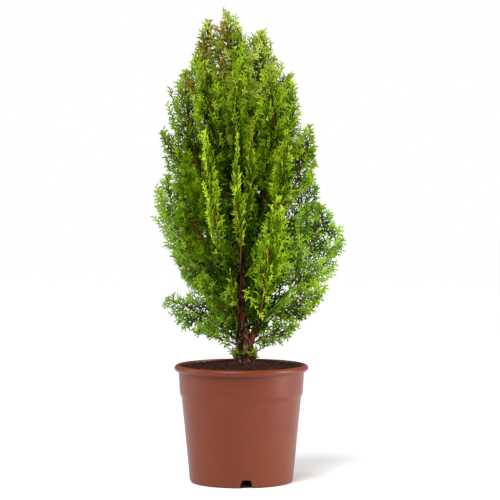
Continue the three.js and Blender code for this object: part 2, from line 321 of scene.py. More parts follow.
def section(triangles: np.ndarray, origin: np.ndarray, normal: np.ndarray) -> np.ndarray | None:
    """Cut a triangle soup with a plane.

    Args:
        triangles: Corner positions, (count, 3, 3).
        origin: A point on the plane.
        normal: The plane's unit normal.

    Returns:
        Ends of the cut's segments, (count, 2, 3), or None where the plane misses.
    """
    height = (triangles - origin) @ normal
    crossed = (height.min(1) < 0) & (height.max(1) > 0)
    cuts = []
    for corners, levels in zip(triangles[crossed], height[crossed]):
        ends = []
        for a, b in ((0, 1), (1, 2), (2, 0)):
            if levels[a] * levels[b] < 0:
                share = levels[a] / (levels[a] - levels[b])
                ends.append(corners[a] + share * (corners[b] - corners[a]))
        if len(ends) == 2:
            cuts.append(ends)
    return np.array(cuts) if len(cuts) > 2 else None


@dataclass
class Station:
    """One cross-section of a node along its length."""

    centre: np.ndarray
    girth: float  # perimeter
    spread: np.ndarray  # middles of the cut's segments, about the centre


def stations(triangles: np.ndarray, count: int, margin: float) -> list[Station]:
    """Cut a long node across its longest direction.

    Args:
        triangles: The node's triangle soup.
        count: How many cuts are made.
        margin: Share of the length left out at each end.

    Returns:
        The cuts in order from the lower end to the upper.
    """
    points = triangles.reshape(-1, 3)
    middle = points.mean(0)
    axis = np.linalg.svd(points - middle, full_matrices=False)[2][0]
    along = (points - middle) @ axis
    found = []
    for share in np.linspace(margin, 1 - margin, count):
        level = along.min() + share * (along.max() - along.min())
        cut = section(triangles, middle + axis * level, axis)
        if cut is None:
            continue
        lengths = np.linalg.norm(cut[:, 1] - cut[:, 0], axis=1)
        mids = cut.mean(1)
        centre = (mids * lengths[:, None]).sum(0) / lengths.sum()
        found.append(Station(centre, lengths.sum(), mids - centre))
    return found if found[0].centre[2] <= found[-1].centre[2] else found[::-1]


# ---- finishes ----


def bare_material(name: str) -> tuple[Material, NodeTree, NodeSocket]:
    """Start a material.

    Args:
        name: The material's name.

    Returns:
        The material, its tree and the socket that gives places on the plant.
    """
    material = bpy.data.materials.new(name)
    material.use_nodes = True
    tree = material.node_tree
    return material, tree, out(add_node(tree, "ShaderNodeTexCoord"), "Object")


@dataclass(frozen=True)
class PottedPlastic:
    """Injection-moulded polypropylene, terracotta brown, satin with a soft sheen."""

    body: str = "#66290E"
    scuffed: str = "#713117"
    roughness: float = 0.36
    uneven: tuple[float, float] = (-0.05, 0.07)  # how far the roughness falls and rises
    flow_size: float = 60.0  # mm, one cloud of faint flow marking
    wear_size: float = 9.0  # mm, width of one streak of handling wear
    wear_squeeze: float = 0.12  # its width as a share of its height
    grain_size: float = 1.1  # mm, mould texture drawn coarse enough to catch the light
    grain_depth: float = 0.1  # mm

    def make(self) -> Material:
        """Build the material: an even satin brown with the faintest cloudiness and a dusty tinge.

        Returns:
            The material.
        """
        material, tree, where = bare_material("moulded_polypropylene")
        add = partial(add_node, tree)
        clouds = add("ShaderNodeTexNoise", {
            "Vector": where, "Scale": 1 / (self.flow_size * MM), "Detail": 4.0})
        tint = add("ShaderNodeMix", {"Factor": clouds, "A": linear(self.body), "B": linear(self.scuffed)},
                   data_type="RGBA")
        streaks = add("ShaderNodeMapping", {"Vector": where, "Scale": (1.0, 1.0, self.wear_squeeze)})
        wear = add("ShaderNodeTexNoise", {
            "Vector": streaks, "Scale": 1 / (self.wear_size * MM), "Detail": 5.0})
        glossy, dull = (self.roughness + change for change in self.uneven)
        gloss = add("ShaderNodeMapRange", {"Value": wear, "To Min": glossy, "To Max": dull})
        grain = add("ShaderNodeTexNoise", {
            "Vector": where, "Scale": 1 / (self.grain_size * MM), "Detail": 2.0})
        relief = add("ShaderNodeBump", {
            "Height": grain, "Strength": 0.06, "Distance": self.grain_depth * MM})
        fill(tree, tree.nodes["Principled BSDF"],
             {"Base Color": tint, "Roughness": gloss, "Normal": relief, "IOR": 1.49,
              "Specular IOR Level": 0.3})
        return material


@dataclass(frozen=True)
class Ground:
    """A rough earthy or woody surface whose colour wanders through a few tones."""

    name: str
    tones: tuple[str, ...]
    patch: float  # mm, size of one patch of colour
    stretch: float = 1.0  # how many times longer than wide a patch stands
    roughness: float = 0.92
    relief: float = 0.5  # mm, depth of the fine bump
    fineness: float = 3.0  # how many times smaller than a patch the bump is
    spread: tuple[float, float] = (0.3, 0.7)  # the pattern's range that the tones share out

    def make(self) -> Material:
        """Build the material: matt, with patches of tone and a fine uneven bump.

        Returns:
            The material.
        """
        material, tree, where = bare_material(self.name)
        add = partial(add_node, tree)
        drawn = add("ShaderNodeMapping", {"Vector": where, "Scale": (1.0, 1.0, 1 / self.stretch)})
        patches = add("ShaderNodeTexNoise", {
            "Vector": drawn, "Scale": 1 / (self.patch * MM), "Detail": 6.0, "Roughness": 0.62})
        ramp = add("ShaderNodeValToRGB", {"Fac": patches})
        stops = ramp.color_ramp.elements
        low, high = self.spread
        for index, tone in enumerate(self.tones):
            spot = low + (high - low) * index / (len(self.tones) - 1)
            stop = stops[index] if index < 2 else stops.new(spot)
            stop.position = spot
            stop.color = linear(tone)
        fine = add("ShaderNodeTexNoise", {
            "Vector": drawn, "Scale": self.fineness / (self.patch * MM), "Detail": 5.0})
        bump = add("ShaderNodeBump", {"Height": fine, "Strength": 0.8, "Distance": self.relief * MM})
        fill(tree, tree.nodes["Principled BSDF"],
             {"Base Color": ramp, "Normal": bump, "Roughness": self.roughness, "IOR": 1.4,
              "Specular IOR Level": 0.2})
        return material


@dataclass(frozen=True)
class Scale:
    """Waxy scale leaf or thin bark in one plain colour, with its scales as a fine bump."""

    name: str
    colour: str
    roughness: float = 0.55
    shine: float = 0.06  # low, as each tiny scale faces another way
    scale_size: float = 1.3  # mm, one overlapping scale
    scale_depth: float = 0.25  # mm

    def make(self) -> Material:
        """Build the material: a plain colour, half matt, faintly knobbly with its scales.

        Returns:
            The material.
        """
        material, tree, where = bare_material(self.name)
        add = partial(add_node, tree)
        scales = add("ShaderNodeTexVoronoi", {"Vector": where, "Scale": 1 / (self.scale_size * MM)})
        bump = add("ShaderNodeBump", {
            "Height": out(scales, "Distance"), "Strength": 0.35, "Distance": self.scale_depth * MM})
        fill(tree, tree.nodes["Principled BSDF"],
             {"Base Color": linear(self.colour), "Normal": bump, "Roughness": self.roughness,
              "IOR": 1.45, "Specular IOR Level": self.shine})
        return material


class Ramp(Enum):
    """Families of leaf colour, each from the darkest step to the lightest."""

    COOL = ("0D1A00", "172A00", "254003", "385908", "4F750F", "68921B", "84A92D", "A0C04A")
    WARM = ("101C00", "1C2E00", "2E4600", "416103", "577905", "70930B", "8AAB14", "A2C01F",
            "B7CF2E", "C8DC3E")
    OLIVE = ("1A2500", "2B3901", "415204", "5C700B", "768A17", "8FA429", "A9B946", "C0CA66")
    BRONZE = ("6C6012", "85741E", "9F892E")

    @property
    def first(self) -> int:
        """Place of this family's darkest step in the whole palette."""
        families = list(Ramp)
        return sum(len(family.value) for family in families[:families.index(self)])

    def tone(self, step: float) -> int:
        """Give the palette place of a step, kept where one lighter step still follows."""
        return self.first + int(min(max(round(step), 0), len(self.value) - 2))


def palette() -> list[Material]:
    """Make every leaf colour of every family, in palette order."""
    return [Scale(f"scale_leaf_{family.name.lower()}_{step}", colour).make()
            for family in Ramp for step, colour in enumerate(family.value)]


# ---- pot ----


@dataclass
class Pot:
    """The moulded nursery pot: rolled rim, collar step, tapered wall and notched foot skirt.

    Sizes are in mm, and a pair is a radius and a height.
    """

    rim_radius: float = 94.5
    bead: float = 4.6  # half the thickness of the rolled rim
    neck_radius: float = 88.6
    neck_drop: float = 0.9  # from the bead's middle to the neck, in half-thicknesses
    step_top: tuple[float, float] = (87.0, 126.0)
    step_foot: tuple[float, float] = (84.4, 119.0)
    step_edge: tuple[float, float] = (0.5, 1.6)  # rounding of both edges of the step
    foot_radius: float = 73.0
    foot_rounding: float = 3.0
    wall_from: float = 14.0  # height where the plain wall starts, over the notches
    wall: float = 1.9
    skirt_width: float = 5.4
    base_raise: float = 12.0
    pad_radius: float = 16.0
    pad_edge: float = 0.6
    notch_count: int = 4
    notch_first: float = -84.3  # degrees
    notch_foot: float = 19.0  # width
    notch_top: float = 12.0
    notch_height: float = 11.5
    sides: int = 288
    crease: float = 38.0  # degrees, past which an edge stays sharp

    def profile(self) -> list[tuple[float, float]]:
        """Give the outline from the pad round the wall to the inner base.

        Returns:
            Radius and height of each point.
        """
        bead_x, bead_z = self.rim_radius - self.bead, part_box("pot")[1].z / MM - self.bead
        neck_z = bead_z - self.bead * self.neck_drop
        foot, rounding, base = self.foot_radius, self.foot_rounding, self.base_raise
        skirt = foot - self.skirt_width
        (top_x, top_z), (low_x, low_z) = self.step_top, self.step_foot
        edge_x, edge_z = self.step_edge
        points = [(0.0, 0.0), (self.pad_radius - self.pad_edge, 0.0), (self.pad_radius, self.pad_edge),
                  (self.pad_radius + 1, base), (skirt, base), (skirt, 0.5), (skirt + 0.5, 0.0)]
        for degrees in (-90, -65, -40, -15, 0):
            turn = math.radians(degrees)
            points.append((foot - rounding * (1 - math.cos(turn)), rounding * (1 + math.sin(turn))))
        for level in np.linspace(self.wall_from, low_z - 2.5, 8):
            share = (level - rounding) / (low_z - rounding)
            points.append((foot + share * (low_x - foot), level))
        points += [(low_x, low_z), (low_x + edge_x, low_z + edge_z), (top_x - edge_x, top_z - edge_z),
                   (top_x, top_z), (top_x + 0.15, top_z + 2.5)]
        for share in (0.35, 0.7, 1.0):
            points.append((top_x + share * (self.neck_radius - top_x), top_z + share * (neck_z - top_z)))
        for degrees in range(-80, 110, 10):
            turn = math.radians(degrees)
            points.append((bead_x + self.bead * math.cos(turn), bead_z + self.bead * math.sin(turn)))
        points += [(self.neck_radius - self.wall, bead_z), (top_x - self.wall, top_z),
                   (low_x - self.wall, low_z), (foot - self.wall + 1, base + self.wall),
                   (0.0, base + self.wall)]
        return points

    def notch_lift(self, azimuth: float, radius: float, height: float) -> float:
        """Raise a low point of the skirt to the arch of the nearest drain notch.

        Args:
            azimuth: The point's azimuth in degrees.
            radius: The point's radius.
            height: The point's height on the plain skirt.

        Returns:
            The height to use.
        """
        if radius < self.foot_radius - self.skirt_width - 0.1 or height > self.base_raise - 0.1:
            return height
        pitch = 360 / self.notch_count
        off = abs((azimuth - self.notch_first + pitch / 2) % pitch - pitch / 2)
        across = math.radians(off) * self.foot_radius
        share = (self.notch_foot / 2 - across) / (self.notch_foot / 2 - self.notch_top / 2)
        return max(height, self.notch_height * min(1.0, max(0.0, share)))

    def build(self, finish: PottedPlastic) -> None:
        """Turn the outline, cut the notches and hand the pot over.

        Args:
            finish: The pot's plastic.
        """
        corners, faces = turned_skin(self.profile(), self.sides, True, self.notch_lift)
        mesh = mesh_of("pot_shell", corners, faces)
        mesh.polygons.foreach_set("use_smooth", [True] * len(mesh.polygons))
        mesh.set_sharp_from_angle(angle=math.radians(self.crease))
        mesh.materials.append(finish.make())
        hand_over(placed("pot_shell", mesh), "pot_plastic", "pot")


# ---- compost ----


@dataclass
class Compost:
    """The peat mound in the pot, with its crumbs. Sizes are in mm."""

    rings: int = 46
    sides: int = 150
    level_radius: float = 22.0  # the level middle round the trunk
    edge_height: float = 161.5
    fall: float = 0.9  # how evenly the mound falls away to its edge
    shoulder: float = 150.0  # height down to which the compost touches the wall
    waist: tuple[float, float] = (-2.0, 128.0)  # change of radius, and height
    base_radius: float = 73.0
    lump: float = 5.2  # height of the lumps
    lump_size: float = 11.0  # across
    lumps_from: float = 158.0  # height over which the surface is lumpy
    crumbs_from: float = 158.5
    crumb_density: float = 0.17  # crumbs for each square millimetre
    crumb_least: float = 0.7
    crumb_most: float = 2.3
    ruffle: float = 1.6  # unevenness of a crumb
    ruffle_pitch: float = 700.0  # waves of it in a metre
    seed: int = 5

    def outline(self) -> list[tuple[float, float]]:
        """Give the outline from the mound's middle out to the wall and down to the base.

        Returns:
            Radius and height of each point.
        """
        low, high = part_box("soil")
        reach, crown_z, base_z = high.x / MM, high.z / MM, low.z / MM
        points = []
        for ring in range(self.rings + 1):
            radius = reach * ring / self.rings
            share = min(1.0, max(0.0, (radius - self.level_radius) / (reach - self.level_radius)))
            points.append((radius, crown_z + (self.edge_height - crown_z) * share ** self.fall))
        return points + [(reach, self.shoulder), (reach + self.waist[0], self.waist[1]),
                         (self.base_radius, base_z + 0.5), (0.0, base_z)]

    def mound(self, finish: Material) -> Object:
        """Build the lumpy mound.

        Args:
            finish: The compost's material.

        Returns:
            The mound.
        """
        tree, sizes = geometry_tree("lumpy_mound", {
            "Lump": self.lump * MM, "Lump size": self.lump_size * MM, "Floor": self.lumps_from * MM})
        add = partial(add_node, tree)
        where = add("GeometryNodeInputPosition")
        pitch = add("ShaderNodeMath", {0: 1.0, 1: sizes.outputs["Lump size"]}, operation="DIVIDE")
        coarse = add("ShaderNodeTexNoise", {
            "Vector": where, "Scale": pitch, "Detail": 5.0, "Roughness": 0.65})
        centred = add("ShaderNodeMath", {0: coarse, 1: 0.5}, operation="SUBTRACT")
        lift = add("ShaderNodeMath", {0: centred, 1: sizes.outputs["Lump"]}, operation="MULTIPLY")
        height = out(add("ShaderNodeSeparateXYZ", {"Vector": where}), "Z")
        top = add("FunctionNodeCompare", {"A": height, "B": sizes.outputs["Floor"]}, data_type="FLOAT",
                  operation="GREATER_THAN")
        moved = add("GeometryNodeSetPosition", {"Geometry": sizes.outputs["Geometry"], "Selection": top,
                                                "Offset": add("ShaderNodeCombineXYZ", {"Z": lift})})
        finish_tree(tree, add("GeometryNodeSetShadeSmooth", {"Geometry": moved}), [finish])
        seed = mesh_of("compost_seed", *turned_skin(self.outline(), self.sides, False))
        return realised("compost_mound", seed, tree, {"Lump": self.lump * MM})

    def crumbs(self, mound: Object, finish: Material) -> Object:
        """Scatter crumbs over the top of the mound.

        Args:
            mound: The finished mound.
            finish: The crumbs' material.

        Returns:
            The crumbs as one piece.
        """
        tree, sizes = geometry_tree("crumbs", {
            "Density": self.crumb_density / MM ** 2, "Least": self.crumb_least * MM,
            "Most": self.crumb_most * MM, "Seed": self.seed})
        add = partial(add_node, tree)
        where = add("GeometryNodeInputPosition")
        height = out(add("ShaderNodeSeparateXYZ", {"Vector": where}), "Z")
        top = add("FunctionNodeCompare", {"A": height, "B": self.crumbs_from * MM}, data_type="FLOAT",
                  operation="GREATER_THAN")
        points = add("GeometryNodeDistributePointsOnFaces", {
            "Mesh": sizes.outputs["Geometry"], "Selection": top, "Density": sizes.outputs["Density"],
            "Seed": sizes.outputs["Seed"]})
        ball = add("GeometryNodeMeshIcoSphere", {"Radius": 1.0, "Subdivisions": 1})
        spin = add("FunctionNodeRandomValue", {
            "Min": (0.0, 0.0, 0.0), "Max": (6.28, 6.28, 6.28), "Seed": 3}, data_type="FLOAT_VECTOR")
        low, high = sizes.outputs["Least"], sizes.outputs["Most"]
        least = add("ShaderNodeCombineXYZ", {"X": low, "Y": low, "Z": low})
        most = add("ShaderNodeCombineXYZ", {"X": high, "Y": high, "Z": low})
        size = add("FunctionNodeRandomValue", {"Min": least, "Max": most, "Seed": 9},
                   data_type="FLOAT_VECTOR")
        scattered = add("GeometryNodeInstanceOnPoints", {
            "Points": points, "Instance": ball, "Scale": size,
            "Rotation": add("FunctionNodeEulerToRotation", {"Euler": spin})})
        solid = add("GeometryNodeRealizeInstances", {"Geometry": scattered})
        ruffle = add("ShaderNodeTexNoise", {"Vector": where, "Scale": self.ruffle_pitch})
        shift = add("ShaderNodeVectorMath", {0: out(ruffle, "Color"), 1: (0.5, 0.5, 0.5)},
                    operation="SUBTRACT")
        small = add("ShaderNodeVectorMath", {"Vector": shift, "Scale": self.ruffle * MM}, operation="SCALE")
        rough = add("GeometryNodeSetPosition", {"Geometry": solid, "Offset": small})
        finish_tree(tree, rough, [finish])
        return realised("compost_crumbs", mound.data.copy(), tree, {"Seed": self.seed})

    def build(self) -> None:
        """Build the mound and its crumbs and hand them over."""
        peat = Ground("peat_compost", ("#130904", "#1E110A", "#2D1A11", "#3F291B"), patch=7.0)
        crumb = Ground("peat_crumb", ("#150B06", "#25150D", "#3B2418", "#5C3F2C"), patch=4.5)
        mound = self.mound(peat.make())
        crumbs = self.crumbs(mound, crumb.make())
        hand_over(mound, "compost", "soil")
        hand_over(crumbs, "compost")


# ---- trunk and limbs ----


@dataclass
class Polyline:
    """A line with a radius at each point, for a stem, a bough or a twig."""

    points: list[Vector]
    radii: list[float]
    green: bool = False


def polyline_mesh(name: str, lines: list[Polyline]) -> Mesh:
    """Make one mesh of loose edge chains that carries each point's radius and kind.

    Args:
        name: The mesh's name.
        lines: The lines.

    Returns:
        The mesh.
    """
    corners, edges, girth, green = [], [], [], []
    for line in lines:
        start = len(corners)
        corners += line.points
        edges += [(start + k, start + k + 1) for k in range(len(line.points) - 1)]
        girth += line.radii
        green += [int(line.green)] * len(line.points)
    mesh = mesh_of(name, corners, (), edges)
    store(mesh, "girth", "FLOAT", "POINT", girth)
    store(mesh, "green", "INT", "POINT", green)
    return mesh


def tube_tree(name: str, bark: Material, skin: Material) -> NodeTree:
    """Build the tree that turns edge chains into closed tapering tubes with bark relief.

    Args:
        name: The tree's name.
        bark: Material of the woody lines.
        skin: Material of the green lines.

    Returns:
        A geometry tree with the inputs Sides, Step, Furrow, Grain and Lobe.
    """
    tree, sizes = geometry_tree(name, {
        "Sides": 6, "Step": 4.0 * MM, "Furrow": 0.0, "Grain": 3.5 * MM, "Lobe": 0.0})
    add = partial(add_node, tree)
    girth = add("GeometryNodeInputNamedAttribute", {"Name": "girth"}, data_type="FLOAT")
    green = add("GeometryNodeInputNamedAttribute", {"Name": "green"}, data_type="INT")
    curve = add("GeometryNodeMeshToCurve", {"Mesh": sizes.outputs["Geometry"]})
    evened = add("GeometryNodeResampleCurve", {"Curve": curve, "Length": sizes.outputs["Step"]},
                 mode="LENGTH")
    ring = add("GeometryNodeCurvePrimitiveCircle", {"Resolution": sizes.outputs["Sides"], "Radius": 1.0})
    tube = add("GeometryNodeCurveToMesh", {
        "Curve": evened, "Profile Curve": ring, "Fill Caps": True, "Scale": girth})
    where = add("GeometryNodeInputPosition")
    upright = add("ShaderNodeVectorMath", {0: where, 1: (1.0, 1.0, 0.14)}, operation="MULTIPLY")
    pitch = add("ShaderNodeMath", {0: 1.0, 1: sizes.outputs["Grain"]}, operation="DIVIDE")
    broad = add("ShaderNodeMath", {0: pitch, 1: 0.3}, operation="MULTIPLY")
    depths = []
    for scale, label, detail in ((pitch, "Furrow", 4.0), (broad, "Lobe", 1.0)):
        fibres = add("ShaderNodeTexNoise", {
            "Vector": upright, "Scale": scale, "Detail": detail, "Roughness": 0.6})
        centred = add("ShaderNodeMath", {0: fibres, 1: 0.5}, operation="SUBTRACT")
        depths.append(add("ShaderNodeMath", {0: centred, 1: sizes.outputs[label]}, operation="MULTIPLY"))
    both = add("ShaderNodeMath", dict(enumerate(depths)), operation="ADD")
    scaled = add("ShaderNodeMath", {0: both, 1: girth}, operation="MULTIPLY")
    outward = add("ShaderNodeVectorMath", {"Vector": add("GeometryNodeInputNormal"), "Scale": scaled},
                  operation="SCALE")
    furrowed = add("GeometryNodeSetPosition", {"Geometry": tube, "Offset": outward})
    soft = add("GeometryNodeSetShadeSmooth", {"Geometry": furrowed})
    finish_tree(tree, soft, [bark, skin], green)
    return tree


@dataclass
class Wood:
    """The trunk, the stems and the boughs under their fibrous peeling bark."""

    trunk_cuts: int = 26
    limb_cuts: int = 9
    furrow: float = 0.55  # bark relief as a share of the radius
    grain: float = 3.2  # mm, width of one bark strip
    lobe: float = 0.6  # depth of the flutes of the trunk, as a share of the radius
    limb_furrow: float = 0.35
    limb_grain: float = 2.4
    root_depth: float = 20.0  # mm, how far the trunk's skin goes on down into the compost
    joint_depth: float = 3.0  # mm, how far a limb's skin goes into its parent
    flare: float = 1.25  # how much wider the trunk is down there
    lines: dict[str, Polyline] = field(default_factory=dict)

    def read(self) -> None:
        """Find the middle line and the taper of every limb, each running away from its foot."""
        for name in frame["nodes"]:
            if name != "trunk" and not name.startswith(("stem_", "bough_")):
                continue
            whole = name == "trunk"
            cuts = stations(soup(name), self.trunk_cuts if whole else self.limb_cuts, 0.02)
            points = [Vector(cut.centre) for cut in cuts]
            radii = [cut.girth / (2 * math.pi) for cut in cuts]
            past = (self.root_depth if whole else self.joint_depth) * MM
            points.insert(0, points[0] + (points[0] - points[1]).normalized() * past)
            radii.insert(0, radii[0] * (self.flare if whole else 1.0))
            self.lines[name] = Polyline(points, radii)

    def nearest(self, place: Vector) -> tuple[Vector, float]:
        """Find the wood's middle line next to a place.

        Args:
            place: The place.

        Returns:
            The line's nearest point, and its radius there.
        """
        found, best, girth = place, 1e9, 1.5 * MM
        for line in self.lines.values():
            for a, b, ra, rb in zip(line.points, line.points[1:], line.radii, line.radii[1:]):
                run = b - a
                share = min(1.0, max(0.0, (place - a).dot(run) / run.length_squared))
                spot = a + run * share
                if (spot - place).length < best:
                    found, best, girth = spot, (spot - place).length, ra + (rb - ra) * share
        return found, girth

    def build(self, bark: Material, skin: Material) -> None:
        """Sweep the trunk and the limbs and hand them over.

        Args:
            bark: Their bark.
            skin: The green skin of young twigs, which the tree of the tubes takes too.
        """
        tree = tube_tree("barked_limb", bark, skin)
        trunk = polyline_mesh("trunk_line", [self.lines["trunk"]])
        piece = realised("trunk_bark", trunk, tree, {"Sides": 56, "Step": 1.3 * MM, "Furrow": self.furrow,
                                                     "Grain": self.grain * MM, "Lobe": self.lobe})
        hand_over(piece, "bark", "trunk")
        PeelingBark().build(piece)
        rest = [name for name in self.lines if name != "trunk"]
        limbs = polyline_mesh("limb_lines", [self.lines[name] for name in rest])
        piece = realised("limb_bark", limbs, tree, {"Sides": 18, "Step": 2.0 * MM,
                                                    "Furrow": self.limb_furrow,
                                                    "Grain": self.limb_grain * MM})
        hand_over(piece, "bark", *rest)


@dataclass
class PeelingBark:
    """Loose curling strips of old bark on the lower trunk."""

    density: float = 0.055  # strips for each square millimetre
    top: float = 300.0  # mm, height where they end
    least: tuple[float, float, float] = (1.0, 4.0, 1.0)  # mm, width, length and curl of the smallest
    most: tuple[float, float, float] = (2.6, 11.0, 2.4)
    thickness: float = 0.3  # of a strip, as a share of its curl
    curl: float = 4.0  # how far its ends stand off, as a share of the same
    lean: float = 0.3  # radians, how unevenly they hang
    seed: int = 12

    def tree(self, tones: list[Material]) -> NodeTree:
        """Build the tree that scatters strips over bark, upright and standing off its surface.

        Args:
            tones: The materials dealt out among the strips.

        Returns:
            A geometry tree with the inputs Density, Top and Seed.
        """
        tree, sizes = geometry_tree("peeling_bark", {
            "Density": self.density / MM ** 2, "Top": self.top * MM, "Seed": self.seed})
        add = partial(add_node, tree)
        where = add("GeometryNodeInputPosition")
        apart = add("ShaderNodeSeparateXYZ", {"Vector": where})
        low = add("FunctionNodeCompare", {"A": out(apart, "Z"), "B": sizes.outputs["Top"]},
                  data_type="FLOAT", operation="LESS_THAN")
        points = add("GeometryNodeDistributePointsOnFaces", {
            "Mesh": sizes.outputs["Geometry"], "Selection": low, "Density": sizes.outputs["Density"],
            "Seed": sizes.outputs["Seed"]})
        shade = add("FunctionNodeRandomValue", {"Min": 0, "Max": len(tones) - 1, "Seed": 4},
                    data_type="INT")
        marked = add("GeometryNodeStoreNamedAttribute", {
            "Geometry": points, "Name": "tone", "Value": shade}, data_type="INT")
        facing = add("FunctionNodeAlignRotationToVector", {"Vector": out(points, "Normal")}, axis="Z")
        standing = add("FunctionNodeAlignRotationToVector", {"Rotation": facing, "Vector": (0.0, 0.0, 1.0)},
                       axis="Y", pivot_axis="Z")
        slant = add("FunctionNodeRandomValue", {
            "Min": (-self.lean,) * 3, "Max": (self.lean,) * 3, "Seed": 8}, data_type="FLOAT_VECTOR")
        unevenly = add("FunctionNodeEulerToRotation", {"Euler": slant})
        slanted = add("FunctionNodeRotateRotation", {"Rotation": standing, "Rotate By": unevenly},
                      rotation_space="LOCAL")
        strip = add("GeometryNodeMeshCube", {
            "Size": (1.0, 1.0, self.thickness), "Vertices X": 2, "Vertices Y": 5, "Vertices Z": 2})
        along = out(apart, "Y")
        square = add("ShaderNodeMath", {0: along, 1: along}, operation="MULTIPLY")
        raised = add("ShaderNodeVectorMath", {
            "Vector": add("ShaderNodeCombineXYZ", {"Z": square}), "Scale": self.curl}, operation="SCALE")
        curled = add("GeometryNodeSetPosition", {"Geometry": strip, "Offset": raised})
        least, most = (tuple(side * MM for side in ends) for ends in (self.least, self.most))
        size = add("FunctionNodeRandomValue", {"Min": least, "Max": most, "Seed": 2},
                   data_type="FLOAT_VECTOR")
        hung = add("GeometryNodeInstanceOnPoints", {
            "Points": marked, "Instance": curled, "Rotation": slanted, "Scale": size})
        tone = add("GeometryNodeInputNamedAttribute", {"Name": "tone"}, data_type="INT")
        finish_tree(tree, hung, tones, tone)
        return tree

    def build(self, trunk: Object) -> None:
        """Scatter the strips over the finished trunk and hand them over.

        Args:
            trunk: The trunk's bark.
        """
        tones = {"russet": ("#3A1C0F", "#6B3A20", "#96603C"), "dark": ("#120A06", "#27160D", "#3D2516"),
                 "grey": ("#3C2E22", "#6E5A47", "#9C8A74"), "black": ("#0C0704", "#1A0F09", "#2C1B10")}
        barks = [Ground(f"{name}_bark_strip", shades, patch=2.4, stretch=4.0).make()
                 for name, shades in tones.items()]
        tree = self.tree(barks)
        hand_over(realised("bark_strips", trunk.data.copy(), tree, {"Seed": self.seed}), "bark")


# ---- foliage ----


